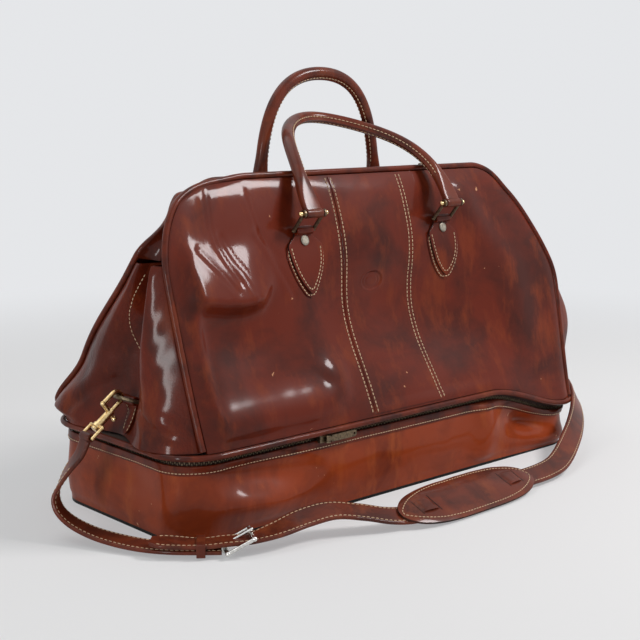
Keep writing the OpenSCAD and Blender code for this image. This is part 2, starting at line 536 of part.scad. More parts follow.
long_route = concat(
  [for (r = [
    [[-313, -99, 13.4], [0.62, 0.78, 0.12], 14],
    [[-304, -108, 12.6], [0.62, 0.78, 0.1], 24],
    [[-280, -129, 11], [0.6, 0.8, 0], 24]]) [moved(r[0]), r[1], r[2]]],
  [[near_bar + [0, 0, 6.9], across, 24], [far_bar - [0, 0, 4.5], across, 24]],
  [for (r = [
    [[-216, -159, 17], [0.2, 0.95, 0.2], 24],
    [[-188, -162, 22], [0, 0.93, 0.38], 24],
    [[-158, -168, 24], [0, 0.93, 0.38], 24],
    [[-130, -180, 19], [0.1, 0.93, 0.38], 24],
    [[-106, -191, 13], [0.2, 0.93, 0.38], 24],
    [[-80, -197, 10], [0, 0.93, 0.38], 24],
    [[-40, -196, 10], [0, 0.93, 0.38], 24],
    [[0, -195, 10], [0, 0.93, 0.38], 24],
    [[40, -194, 10], [0, 0.93, 0.38], 24],
    [[80, -193, 10], [0, 0.93, 0.38], 24],
    [[120, -192, 10], [0, 0.92, 0.4], 24],
    [[148, -189, 12], [-0.2, 0.9, 0.4], 24],
    [[172, -181, 16], [-0.4, 0.8, 0.45], 24],
    [[202, -167, 23], [-0.4, 0.7, 0.55], 24],
    [[236, -149, 32], [-0.35, 0.6, 0.7], 24],
    [[268, -128, 41], [-0.35, 0.45, 0.8], 24],
    [[298, -102, 50], [-0.3, 0.3, 0.9], 24],
    [[318, -74, 57], [-0.1, 0.3, 0.95], 24],
    [[329, -48, 62], [0, 0.4, 0.9], 24],
    [[331, -28, 68], [0, 0.7, 0.6], 20],
    [[326, -16, 76], [0, 1, 0.2], 16]]) [moved(r[0]), r[1], r[2]]],
  [[mirrored(strap_end) + 3.4 * unit([5, 0, -8.4]), [0, 1, 0], end_fold]]);
module end_loop(s) translate(s < 0 ? strap_end : mirrored(strap_end))
  translate([0, end_fold / 2 * strap_w / 24, 0]) rotate([90, 0, 0]) children();
module short_strap() color(leather) difference() {
  union() {
    ribbon(short_route);
    end_loop(-1) cylinder(r = eye_r + 2.5, h = end_fold * strap_w / 24);
    bar(near_bar - strap_w / 2 * across, near_bar + strap_w / 2 * across, buckle_r + 2.3);
  }
  end_loop(-1) translate([0, 0, -5]) cylinder(r = eye_r + run_gap, h = 40);
  bar(near_bar - 30 * across, near_bar + 30 * across, buckle_r + run_gap);
  translate(near_bar) rotate([0, 0, atan2(along[1], along[0])]) cube([14, 5, 14], center = true);
}
module long_strap() color(leather) difference() {
  union() {
    ribbon(long_route);
    end_loop(1) cylinder(r = eye_r + 2.5, h = end_fold * strap_w / 24);
  }
  end_loop(1) translate([0, 0, -5]) cylinder(r = eye_r + run_gap, h = 40);
  translate(near_bar + 7 * along + [0, 0, 7]) rotate([0, 0, atan2(along[1], along[0])])
    cube([20, 4.4, 14], center = true);
}
buckle_reach = norm([12, 6]);
module at_buckle() translate(buckle_at) rotate([0, 0, atan2(along[1], along[0])])
  rotate([0, -atan2(6, 12), 0]) children();
module buckle_frame() color(steel) at_buckle() {
  side = strap_w / 2 + 3.2;
  for (k = [-1, 1]) {
    translate([k * buckle_reach, side, 0]) rotate([90, 0, 0]) cylinder(r = buckle_r, h = 2 * side);
    translate([-buckle_reach, k * side, 0]) rotate([0, 90, 0]) cylinder(r = buckle_r - 0.2, h = 2 * buckle_reach);
    for (j = [-1, 1]) translate([j * buckle_reach, k * side, 0]) sphere(buckle_r + 0.3);
  }
}
module buckle_prong() color(steel) at_buckle() difference() {
  union() {
    translate([-buckle_reach, 1.9, 0]) rotate([90, 0, 0]) cylinder(r = 3.7, h = 3.8);
    translate([-buckle_reach, 0, buckle_r + 1.6]) rotate([0, 90, 0]) cylinder(r = 1.3, h = 2 * buckle_reach + 2);
    translate([buckle_reach + 2, 0, buckle_r + 1.6]) sphere(1.5);
  }
  translate([-buckle_reach, 5, 0]) rotate([90, 0, 0]) cylinder(r = buckle_r + run_gap, h = 10);
}
module strap_keeper() color(leather_dark) translate(moved([-280, -129, 0])) rotate([0, 0, -37]) difference() {
  translate([-4, -strap_w / 2 - 2.6, 1.8]) cube([8, strap_w + 5.2, 13]);
  translate([-5, -strap_w / 2 - 0.6, 3.7]) cube([10, strap_w + 1.2, 9.4]);
}

// Shoulder pad: a padded lozenge on the long strap, with two loops over the strap's slots
pad_at = moved([0, -195, 10]);
pad_dir = unit([40, 1, 0]);
pad_side = unit([0, 0.93, 0.38]);
pad_up = unit(cross(pad_dir, pad_side));
function pad_h(k) = max(4, pad_w / 2 * pow(max(0, 1 - pow(abs(k), 3.4)), 0.5));
function pad_pt(k, u, e) = pad_at + pad_l / 2 * k * pad_dir + pad_h(k) * u * pad_side + e * pad_up;
function pad_top(k, u) = strap_t / 2 + 2.5 + 3.5 * (1 - pow(abs(u), 3)) * (1 - pow(abs(k), 6));
module shoulder_pad() color(leather) {
  ks = [for (i = [-9:9]) sin(10 * i)];
  us = [-1, -0.85, -0.5, 0, 0.5, 0.85, 1];
  sheet([for (k = ks) [for (u = us) pad_pt(k, u, pad_top(k, u))]],
    [for (k = ks) [for (u = us) pad_pt(k, u, strap_t / 2 + 0.4)]], true);
}
module pad_loops() color(leather_dark) for (c = [-0.66, 0.66]) {
  ks = [for (i = [-4:4]) i / 4];
  us = [-0.34, 0, 0.34];
  sheet([for (i = ks) [for (u = us) pad_pt(c + 0.14 * i, u, pad_top(c, 0) + 2.4 + 2 * (1 - i * i))]],
    [for (i = ks) [for (u = us) pad_pt(c + 0.14 * i, u, pad_top(c, 0) + 0.4 + 2 * (1 - i * i))]], true);
}

base_panel();
base_board();
lower_wall();
divider_floor();
lower_zip();
lower_piping();
front_panel();
rear_panel();
front_band();
rear_band();
left_gusset();
right_gusset();
front_piping();
rear_piping();
front_zip_facing();
rear_zip_facing();
top_zip();
left_zip_end();
right_zip_end();
front_left_tab();
front_right_tab();
rear_left_tab();
rear_right_tab();
tab_rivets();
left_ring_tab();
right_ring_tab();
front_left_shackle();
front_right_shackle();
rear_left_shackle();
rear_right_shackle();
front_left_pin();
front_right_pin();
rear_left_pin();
rear_right_pin();
front_handle();
rear_handle();
lower_zip_slider();
lower_zip_pull();
top_zip_slider();
top_zip_pull();
left_ring();
right_ring();
left_hook();
right_hook();
left_hook_bolt();
right_hook_bolt();
left_hook_eye();
right_hook_eye();
short_strap();
long_strap();
buckle_frame();
buckle_prong();
strap_keeper();
shoulder_pad();
pad_loops();
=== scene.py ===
# %% [markdown]
# # A polished leather travel bag
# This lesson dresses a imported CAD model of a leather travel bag: a zip-topped upper body on a
# separate zipped shoe compartment, rolled handles on shackles and a clip-on shoulder strap.
# The CAD frame gives every size and every joint. Blender adds the soft leather, the sewing and the finish.

import json
import math

import bpy
import numpy as np
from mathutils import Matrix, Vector

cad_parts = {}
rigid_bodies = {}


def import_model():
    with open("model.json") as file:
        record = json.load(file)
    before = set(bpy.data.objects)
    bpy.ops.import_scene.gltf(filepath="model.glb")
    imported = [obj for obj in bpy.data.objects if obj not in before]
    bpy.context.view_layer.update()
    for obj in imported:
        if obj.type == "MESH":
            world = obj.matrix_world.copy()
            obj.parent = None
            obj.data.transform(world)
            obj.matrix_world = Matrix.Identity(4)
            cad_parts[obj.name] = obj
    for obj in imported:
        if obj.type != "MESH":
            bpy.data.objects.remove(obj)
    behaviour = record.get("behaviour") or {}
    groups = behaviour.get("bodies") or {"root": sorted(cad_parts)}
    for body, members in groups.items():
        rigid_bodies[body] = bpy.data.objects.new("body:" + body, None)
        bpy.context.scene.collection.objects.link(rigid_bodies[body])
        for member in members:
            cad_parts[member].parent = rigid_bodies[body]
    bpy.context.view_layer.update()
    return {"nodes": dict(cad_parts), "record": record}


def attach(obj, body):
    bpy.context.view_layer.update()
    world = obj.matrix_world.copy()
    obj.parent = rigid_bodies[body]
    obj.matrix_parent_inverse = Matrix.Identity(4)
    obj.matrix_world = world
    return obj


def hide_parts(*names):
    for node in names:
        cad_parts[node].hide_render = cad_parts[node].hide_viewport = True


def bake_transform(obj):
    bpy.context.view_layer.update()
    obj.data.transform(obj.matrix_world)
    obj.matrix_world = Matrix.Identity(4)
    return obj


for left_over in list(bpy.data.objects):
    bpy.data.objects.remove(left_over)
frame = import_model()
nodes = frame["nodes"]

# %% [markdown]
# The photograph was taken from the bag's front left, a little above its middle, with a long lens.
# A camera could be placed by eye, but a fit to the corners of the base gives its place once and for all.

# %% Camera
scene = bpy.context.scene
scene.view_settings.view_transform = "Standard"
camera = bpy.data.objects.new("camera", bpy.data.cameras.new("camera"))
scene.collection.objects.link(camera)
camera.data.lens = 71.07
camera.data.sensor_width = 36
VIEW_TURN, VIEW_TILT, VIEW_AWAY = math.radians(-42.17), math.radians(9.74), 1.35653
VIEW_CENTRE = Vector((-0.021, 0, 0.16536))
level = math.cos(VIEW_TILT)
back = Vector((math.sin(VIEW_TURN) * level, -math.cos(VIEW_TURN) * level, math.sin(VIEW_TILT)))
camera.location = VIEW_CENTRE + back * VIEW_AWAY
camera.rotation_mode = "QUATERNION"
camera.rotation_quaternion = (-back).to_track_quat("-Z", "Y")
scene.camera = camera
print("camera at", [round(v, 3) for v in camera.location])

# %% [markdown]
# Every leather piece here is a mesh worked out in millimetres and turned into metres at the end.
# Two forms cover almost all of them: a sheet with two faces and a rim, and a profile swept along a line.
# Both could be modelled by hand with modifiers, but numbers keep them on the CAD pieces they stand for.

# %% Helpers for meshes
def vec(*v):
    return np.array(v, float)


def unit(v):
    v = np.asarray(v, float)
    return v / np.maximum(np.linalg.norm(v, axis=-1, keepdims=True), 1e-9)


def ease(q):
    q = np.clip(q, 0, 1)
    return q * q * (3 - 2 * q)


def bell(q):
    return np.exp(-(q**2))


def closed_line(path):
    return np.concatenate([path, path[:1]])


def run_along(path):
    return np.concatenate([[0], np.cumsum(np.linalg.norm(np.diff(path, axis=0), axis=1))])


def new_piece(name, points, faces, material, body="bag", stands_for=()):
    mesh = bpy.data.meshes.new(name)
    mesh.from_pydata((np.asarray(points, float) * 0.001).tolist(), [], [list(map(int, f)) for f in faces])
    mesh.polygons.foreach_set("use_smooth", [True] * len(mesh.polygons))
    mesh.set_sharp_from_angle(angle=math.radians(50))
    mesh.materials.append(material)
    mesh.update()
    obj = bpy.data.objects.new(name, mesh)
    scene.collection.objects.link(obj)
    if body:
        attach(obj, body)
    if stands_for:
        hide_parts(*stands_for)
    return obj


def grid_faces(n, m, start=0, wrap=False, flip=False):
    rows = np.arange(n - 1)[:, None]
    cols = np.arange(m if wrap else m - 1)[None, :]
    a = rows * m + cols
    b = rows * m + (cols + 1) % m
    quads = np.stack([a, b, b + m, a + m], -1).reshape(-1, 4) + start
    return quads[:, ::-1] if flip else quads


def sheet(outer, inner, wrap=False, flip=False):
    n, m = outer.shape[:2]
    q = n * m
    faces = [grid_faces(n, m, 0, wrap, flip), grid_faces(n, m, q, wrap, not flip)]
    rims = [[i * m + j for j in range(m)] + ([i * m] if wrap else []) for i in (0, n - 1)]
    if not wrap:
        rims += [[i * m + j for i in range(n)] for j in (0, m - 1)]
    for k, rim in enumerate(rims):
        turned = (k in (0, 3)) != flip
        steps = zip(rim, rim[1:]) if turned else zip(rim[1:], rim)
        faces.append(np.array([[a, a + q, b + q, b] for a, b in steps]))
    return np.concatenate([outer.reshape(-1, 3), inner.reshape(-1, 3)]), np.concatenate(faces)


def sweep(path, wide, high, profile, closed=False):
    rings = path[:, None, :] + profile[..., 0:1] * wide[:, None, :] + profile[..., 1:2] * high[:, None, :]
    n, m = rings.shape[:2]
    if closed:
        rings = np.concatenate([rings, rings[:1]])
        n += 1
    faces = [list(f) for f in grid_faces(n, m, 0, True)]
    if not closed:
        faces += [list(range(m))[::-1], list(range((n - 1) * m, n * m))]
    return rings.reshape(-1, 3), faces


def through(points, step):
    p = np.asarray(points, float)
    p = np.concatenate([2 * p[:1] - p[1:2], p, 2 * p[-1:] - p[-2:-1]])
    fine = []
    for i in range(1, len(p) - 2):
        t = np.linspace(0, 1, 40, endpoint=False)[:, None]
        a, b, c, d = p[i - 1], p[i], p[i + 1], p[i + 2]
        curve = 2 * b + (c - a) * t + (2 * a - 5 * b + 4 * c - d) * t**2 + (3 * b - a - 3 * c + d) * t**3
        fine.append(0.5 * curve)
    fine = np.concatenate(fine + [p[-2:-1]])
    run = run_along(fine[:, :3])
    at = np.linspace(0, run[-1], max(2, int(round(run[-1] / step)) + 1))
    return np.stack([np.interp(at, run, fine[:, k]) for k in range(fine.shape[1])], -1)


def round_profile(a, b, n=16):
    t = np.linspace(0, 2 * np.pi, n, endpoint=False)
    return np.stack([a * np.cos(t), b * np.sin(t)], -1)


def strap_profile(w, t, r=1.2):
    corner = np.radians([0, 30, 60, 90])
    right = [(w / 2 - r + r * math.cos(a), t / 2 - r + r * math.sin(a)) for a in corner]
    top = right + [(w * k, t / 2) for k in (0.3, 0.1, -0.1, -0.3)] + [(-x, y) for x, y in right[::-1]]
    return np.array(top + [(-x, -y) for x, y in top])


print("helpers ready")

# %% [markdown]
# Leather of this kind is dyed in layers, so it shows red-brown, orange and almost black side by side.
# That cloudy tone, the pore grain and the pale nicks of wear are shared by many pieces, so each is a
# node group made once. The groups give only colours and heights; the shader stays in each material.

# %% Shared effects as node groups
def start_group(name, inputs, outputs):
    group = bpy.data.node_groups.new(name, "ShaderNodeTree")
    for label, kind, value in inputs:
        socket = group.interface.new_socket(label, in_out="INPUT", socket_type=kind)
        socket.default_value = value
    for label, kind in outputs:
        group.interface.new_socket(label, in_out="OUTPUT", socket_type=kind)
    return group, group.nodes.new("NodeGroupInput"), group.nodes.new("NodeGroupOutput")


def add(tree, kind, links=(), **settings):
    node = tree.nodes.new(kind)
    for key, value in settings.items():
        setattr(node, key, value)
    for socket, source in links:
        if isinstance(source, bpy.types.NodeSocket):
            tree.links.new(source, node.inputs[socket])
        else:
            node.inputs[socket].default_value = source
    return node


def ramp(tree, source, stops):
    node = add(tree, "ShaderNodeValToRGB", [(0, source)])
    band = node.color_ramp.elements
    while len(band) < len(stops):
        band.new(0.5)
    for element, (place, shade) in zip(band, stops):
        element.position = place
        element.color = (*shade, 1) if isinstance(shade, tuple) else (shade, shade, shade, 1)
    return node.outputs[0]


def blend_colour(tree, factor, a, b, how="MIX"):
    node = add(tree, "ShaderNodeMix", data_type="RGBA", blend_type=how)
    for socket, source in ((node.inputs[0], factor), (node.inputs[6], a), (node.inputs[7], b)):
        if isinstance(source, bpy.types.NodeSocket):
            tree.links.new(source, socket)
        else:
            socket.default_value = source
    return node.outputs[2]


def sums(tree, how, a, b):
    return add(tree, "ShaderNodeMath", [(0, a), (1, b)], operation=how).outputs[0]


C, F = "NodeSocketColor", "NodeSocketFloat"
tone, tone_in, tone_out = start_group(
    "dyed leather tone",
    [
        ("Middle", C, (0.2, 0.04, 0.02, 1)),
        ("Deep", C, (0.06, 0.015, 0.01, 1)),
        ("Warm", C, (0.3, 0.09, 0.03, 1)),
        ("Cloud size", F, 11.0),
    ],
    [("Color", C), ("Gloss mask", F)],
)
where = add(tone, "ShaderNodeTexCoord").outputs["Object"]
cloud_size = tone_in.outputs["Cloud size"]
cloud = add(
    tone,
    "ShaderNodeTexNoise",
    [("Vector", where), ("Scale", cloud_size), ("Detail", 5.0), ("Roughness", 0.6), ("Distortion", 0.6)],
)
streak_map = add(tone, "ShaderNodeMapping", [("Vector", where), ("Scale", (1.0, 1.0, 0.35))])
streak = add(
    tone,
    "ShaderNodeTexNoise",
    [("Vector", streak_map.outputs[0]), ("Scale", 38.0), ("Detail", 6.0), ("Roughness", 0.65)],
)
dark_parts = ramp(tone, cloud.outputs[0], [(0.36, 1.0), (0.56, 0.0)])
deep = blend_colour(tone, dark_parts, tone_in.outputs["Middle"], tone_in.outputs["Deep"])
warm_parts = ramp(tone, streak.outputs[0], [(0.52, 0.0), (0.72, 0.75)])
warm = blend_colour(tone, warm_parts, deep, tone_in.outputs["Warm"])
tone.links.new(warm, tone_out.inputs["Color"])
tone.links.new(ramp(tone, streak.outputs[0], [(0.3, 0.0), (0.7, 1.0)]), tone_out.inputs["Gloss mask"])

grain, grain_in, grain_out = start_group(
    "leather grain", [("Pores per metre", F, 700.0), ("Pebble", F, 0.3)], [("Height", F)]
)
where = add(grain, "ShaderNodeTexCoord").outputs["Object"]
wobble = add(grain, "ShaderNodeTexNoise", [("Vector", where), ("Scale", 160.0), ("Detail", 3.0)])
moved = blend_colour(grain, 0.004, where, wobble.outputs["Color"], how="LINEAR_LIGHT")
pores = add(
    grain,
    "ShaderNodeTexVoronoi",
    [("Vector", moved), ("Scale", grain_in.outputs["Pores per metre"])],
    feature="SMOOTH_F1",
)
creases = add(
    grain,
    "ShaderNodeTexNoise",
    [("Vector", where), ("Scale", 240.0), ("Detail", 4.0), ("Roughness", 0.7)],
)
between = sums(grain, "SUBTRACT", 1.0, pores.outputs["Distance"])
pebble = sums(grain, "MULTIPLY", between, grain_in.outputs["Pebble"])
fine_creases = sums(grain, "MULTIPLY", creases.outputs[0], 0.35)
grain.links.new(sums(grain, "ADD", pebble, fine_creases), grain_out.inputs["Height"])

wear, wear_in, wear_out = start_group(
    "nicks and scratches", [("Spots per metre", F, 120.0), ("Amount", F, 0.1)], [("Mask", F)]
)
where = add(wear, "ShaderNodeTexCoord").outputs["Object"]
bend_by = add(wear, "ShaderNodeTexNoise", [("Vector", where), ("Scale", 300.0), ("Detail", 2.0)])
moved = blend_colour(wear, 0.003, where, bend_by.outputs["Color"], how="LINEAR_LIGHT")
spots = add(wear, "ShaderNodeTexVoronoi", [("Vector", moved), ("Scale", wear_in.outputs["Spots per metre"])])
pick = add(wear, "ShaderNodeSeparateColor", [(0, spots.outputs["Color"])])
small = sums(wear, "LESS_THAN", spots.outputs["Distance"], sums(wear, "MULTIPLY", pick.outputs[1], 0.16))
chosen = sums(wear, "LESS_THAN", pick.outputs[0], wear_in.outputs["Amount"])
wear.links.new(sums(wear, "MULTIPLY", small, chosen), wear_out.inputs["Mask"])
print("node groups:", [g.name for g in bpy.data.node_groups])

# %% [markdown]
# The finish is a wax polish over dye: a clear coat on a darker, softer base. One function makes every leather,
# and only its colours, grain size and wear differ from piece to piece.

# %% Leather finishes
def place(tree, group, values):
    node = tree.nodes.new("ShaderNodeGroup")
    node.node_tree = group
    for key, value in values.items():
        node.inputs[key].default_value = value
    return node


def start_material(name, **plain):
    material = bpy.data.materials.new(name)
    material.use_nodes = True
    shader = material.node_tree.nodes["Principled BSDF"]
    for key, value in plain.items():
        shader.inputs[key.replace("_", " ").title().replace("Ior", "IOR")].default_value = value
    return material, material.node_tree, shader


NICK_COLOUR = (0.5, 0.24, 0.12, 1)


def leather(
    name, middle, deep, warm, pores=700.0, pebble=0.3, rough=(0.40, 0.54), lift=0.12, nicks=0.0,
    cloud=11.0, coat=0.29, coat_rough=0.1,
):
    material, tree, shader = start_material(
        name, coat_weight=coat, coat_roughness=coat_rough, specular_ior_level=0.06
    )
    colours = {"Middle": (*middle, 1), "Deep": (*deep, 1), "Warm": (*warm, 1)}
    look = place(tree, tone, {**colours, "Cloud size": cloud})
    colour = look.outputs["Color"]
    if nicks:
        worn = place(tree, wear, {"Spots per metre": 95.0, "Amount": nicks})
        colour = blend_colour(tree, worn.outputs["Mask"], colour, NICK_COLOUR)
    tree.links.new(colour, shader.inputs["Base Color"])
    gloss = add(
        tree,
        "ShaderNodeMapRange",
        [("Value", look.outputs["Gloss mask"]), ("To Min", rough[0]), ("To Max", rough[1])],
    )
    tree.links.new(gloss.outputs[0], shader.inputs["Roughness"])
    pore = place(tree, grain, {"Pores per metre": pores, "Pebble": pebble})
    height = pore.outputs["Height"]
    bump = add(tree, "ShaderNodeBump", [("Strength", lift), ("Distance", 0.001), ("Height", height)])
    tree.links.new(bump.outputs[0], shader.inputs["Normal"])
    return material


red = dict(middle=(0.12, 0.0135, 0.0034), deep=(0.053, 0.0075, 0.003), warm=(0.2, 0.033, 0.0065))
panel_leather = leather("polished panel leather", **red, nicks=0.05)
gusset_leather = leather(
    "soft gusset leather", **red, pores=420.0, pebble=0.8, lift=0.45, nicks=0.02, coat_rough=0.13
)
# The wall is the panels' leather; its lighter colours here are painted light from the front, and only its pale
# nicks are real wear.
wall_leather_painted_lighter = leather(
    "worn wall leather painted lighter", (0.265, 0.04, 0.0085), (0.14, 0.021, 0.006), (0.36, 0.076, 0.015), nicks=0.2
)
edge_leather = leather(
    "piping leather", (0.125, 0.019, 0.007), (0.05, 0.0095, 0.0055), (0.2, 0.042, 0.013),
    lift=0.15, cloud=30.0,
)
strap_leather = leather(
    "strap leather", (0.135, 0.024, 0.0095), (0.065, 0.014, 0.0075), (0.21, 0.048, 0.016),
    lift=0.2, cloud=24.0, rough=(0.42, 0.58), coat=0.35, coat_rough=0.16,
)
# Real dark cut edges; on the pad slits the same colour is also painted shade.
cut_edge_and_slit_shade_leather = leather(
    "dark cut edges", (0.035, 0.012, 0.008), (0.015, 0.006, 0.005), (0.07, 0.02, 0.012),
    cloud=40.0, rough=(0.45, 0.6), coat=0.1,
)
base_leather = leather(
    "black base", (0.012, 0.011, 0.010), (0.006, 0.006, 0.006), (0.03, 0.024, 0.02),
    rough=(0.4, 0.6), cloud=30.0, coat=0.1,
)
print("leathers:", len([m for m in bpy.data.materials if "leather" in m.name]))

# %% [markdown]
# Metal fittings keep their CAD shape, so they only need a finish: bright brass on the snap hooks and ball ends,
# dark antique bronze on shackles and zip pulls, dull pewter rivets and a bright steel buckle.
# A noise that moves roughness and colour a little keeps them from looking like plastic.

# %% Metals, thread, tape and lining
def metal(name, light, dark, rough):
    material, tree, shader = start_material(name, metallic=1.0)
    where = add(tree, "ShaderNodeTexCoord").outputs["Object"]
    haze = add(tree, "ShaderNodeTexNoise", [("Vector", where), ("Scale", 420.0), ("Detail", 4.0)])
    dull = ramp(tree, haze.outputs[0], [(0.4, 0.0), (0.62, 1.0)])
    tree.links.new(blend_colour(tree, dull, (*light, 1), (*dark, 1)), shader.inputs["Base Color"])
    gloss = add(
        tree,
        "ShaderNodeMapRange",
        [("Value", haze.outputs[0]), ("To Min", rough - 0.08), ("To Max", rough + 0.12)],
    )
    tree.links.new(gloss.outputs[0], shader.inputs["Roughness"])
    return material


def cloth(name, light, dark, threads, rough=0.85):
    material, tree, shader = start_material(name, roughness=rough)
    where = add(tree, "ShaderNodeTexCoord").outputs["Object"]
    weave = add(
        tree,
        "ShaderNodeTexWave",
        [("Vector", where), ("Scale", threads), ("Distortion", 1.5), ("Detail", 2.0)],
        bands_direction="DIAGONAL",
    )
    tree.links.new(blend_colour(tree, weave.outputs[1], (*light, 1), (*dark, 1)), shader.inputs["Base Color"])
    bump = add(tree, "ShaderNodeBump", [("Strength", 0.4), ("Distance", 0.0005), ("Height", weave.outputs[1])])
    tree.links.new(bump.outputs[0], shader.inputs["Normal"])
    return material


brass = metal("polished brass", (0.78, 0.58, 0.30), (0.55, 0.38, 0.17), 0.22)
bronze = metal("antique bronze", (0.20, 0.15, 0.095), (0.10, 0.075, 0.05), 0.36)
pewter = metal("dull pewter", (0.36, 0.33, 0.27), (0.24, 0.21, 0.17), 0.4)
steel = metal("bright steel", (0.72, 0.71, 0.68), (0.52, 0.51, 0.48), 0.2)
thread = cloth("waxed cream thread", (0.72, 0.53, 0.34), (0.52, 0.35, 0.2), 900.0, 0.6)
tape = cloth("zip tape", (0.05, 0.02, 0.013), (0.025, 0.011, 0.008), 500.0)
lining = cloth("plain lining", (0.06, 0.035, 0.025), (0.04, 0.024, 0.018), 400.0)
finish_of = {
    "brass": brass,
    "bronze": bronze,
    "pewter": pewter,
    "steel": steel,
    "lining": lining,
    "board": lining,
    "zip_tape": tape,
    "red_leather": panel_leather,
    "edge_leather": edge_leather,
    "base_black": base_leather,
}
for part in frame["record"]["subparts"]:
    mesh = nodes[part["node"]].data
    mesh.materials.clear()
    mesh.materials.append(finish_of[part["material_slot"]])
    mesh.polygons.foreach_set("use_smooth", [True] * len(mesh.polygons))
    mesh.set_sharp_from_angle(angle=math.radians(32))
print("finished CAD nodes:", len(nodes))

# %% [markdown]
# The stitching is real thread in the photograph, cream on brown, and it catches the light one stitch at a time.
# A painted dash could stand in for it, but small sewn bars with tapered ends stay right from every side.
# They are gathered along lines here and turned into one mesh for each group of seams.

# %% Stitches
sewing = {}
STITCH_RINGS = ((0.0, 0.35), (0.18, 0.95), (0.5, 1.1), (0.82, 0.95), (1.0, 0.35))
STITCH_SIDES = 6
STITCH_POINTS = len(STITCH_RINGS) * STITCH_SIDES


def sew(group, path, outward, pitch=4.4, length=3.3, radius=0.55, lift=0.15):
    path = np.asarray(path, float)
    run = run_along(path)
    count = int(run[-1] / pitch)
    outward = np.broadcast_to(np.asarray(outward, float), path.shape)
    at = (np.arange(count) + 0.5) * run[-1] / max(count, 1)
    pick = lambda q, a: np.stack([np.interp(q, run, a[:, k]) for k in range(3)], -1)
    a, b, up = pick(at - length / 2, path), pick(at + length / 2, path), unit(pick(at, outward))
    sewing.setdefault(group, []).append((a + up * lift, b + up * lift, up, radius))


def stitch_mesh(group):
    points, faces, start = [], [], 0
    one = [list(f) for f in grid_faces(len(STITCH_RINGS), STITCH_SIDES, 0, True)]
    one += [list(range(STITCH_SIDES))[::-1], list(range(STITCH_POINTS - STITCH_SIDES, STITCH_POINTS))]
    round_it = np.arange(STITCH_SIDES) * 2 * np.pi / STITCH_SIDES
    for a, b, up, r in sewing[group]:
        side = unit(np.cross(unit(b - a), up))
        rings = []
        for k, size in STITCH_RINGS:
            sunk = 0.4 * r if k in (0, 1) else 0.0
            middle = a + (b - a) * k - sunk * up
            ring = [middle + r * size * (math.cos(t) * side + 0.8 * math.sin(t) * up) for t in round_it]
            rings.append(np.stack(ring, 1))
        points.append(np.stack(rings, 1).reshape(-1, 3))
        for first in range(start, start + STITCH_POINTS * len(a), STITCH_POINTS):
            faces += [[v + first for v in f] for f in one]
        start += STITCH_POINTS * len(a)
    return np.concatenate(points), faces


print("sewing box ready")

# %% [markdown]
# The strap is the one free cord: two flat leather pieces, clipped to rings on the gussets and joined by a
# buckle. It lies as it fell: the short piece twists down to the floor, the long one runs in front of the bag and
# climbs at the right. The routes are those of the CAD solids, so the looks lie exactly where the frame says.
# The two pieces belong to no body; their transforms are only baked in place.

# %% The two strap pieces
def clear_of(p, q, toward):
    return p + q * unit(toward)


STRAP_W, STRAP_T, EYE_R = 24, 3.6, 3.1
RING_R, RING_TILT, HOOK_TILT = 14, math.radians(20), math.radians(36)
ring_x, ring_y, ring_z = -273.86, -12.0, 120.0
ring_out = vec(ring_x, ring_y, ring_z) + RING_R * vec(-math.cos(RING_TILT), 0, math.sin(RING_TILT))
hook_up = vec(math.cos(HOOK_TILT), 0, math.sin(HOOK_TILT))
hook_side = vec(-math.sin(HOOK_TILT), 0, math.cos(HOOK_TILT))
left_end = ring_out - 46.4 * hook_up - 6 * hook_side
right_end = left_end * vec(-1, 1, 1)
buckle_at, along = vec(-252, -147, 11.5), unit(vec(0.88, -0.48, 0))
across = vec(-along[1], along[0], 0)
near_bar, far_bar = buckle_at - 12 * along - vec(0, 0, 6), buckle_at + 12 * along + vec(0, 0, 6)

short_route = [
    (clear_of(left_end, 3.4, vec(-5, 0, -8.4)), (0, 1, 0), 15),
    ((-328, -10, 77), (0.12, 1, 0), 16),
    ((-336, -5, 65), (0.35, 0.93, -0.03), 20),
    ((-343, -1, 52), (0.55, 0.83, -0.06), STRAP_W),
    ((-348, 1, 39), (0.66, 0.75, -0.08), STRAP_W),
    ((-348, -5, 27), (0.7, 0.71, -0.08), STRAP_W),
    ((-343, -18, 17.5), (0.72, 0.69, -0.04), STRAP_W),
    ((-335, -38, 11), (0.72, 0.69, 0), STRAP_W),
    ((-325, -61, 7.5), (0.72, 0.69, 0.04), STRAP_W),
    ((-313, -86, 6), (0.7, 0.71, 0.05), STRAP_W),
    ((-298, -110, 6), (0.66, 0.75, 0.03), STRAP_W),
    ((-280, -129, 6), (0.6, 0.8, 0), STRAP_W),
    (near_bar - 3.4 * along, across, STRAP_W),
]
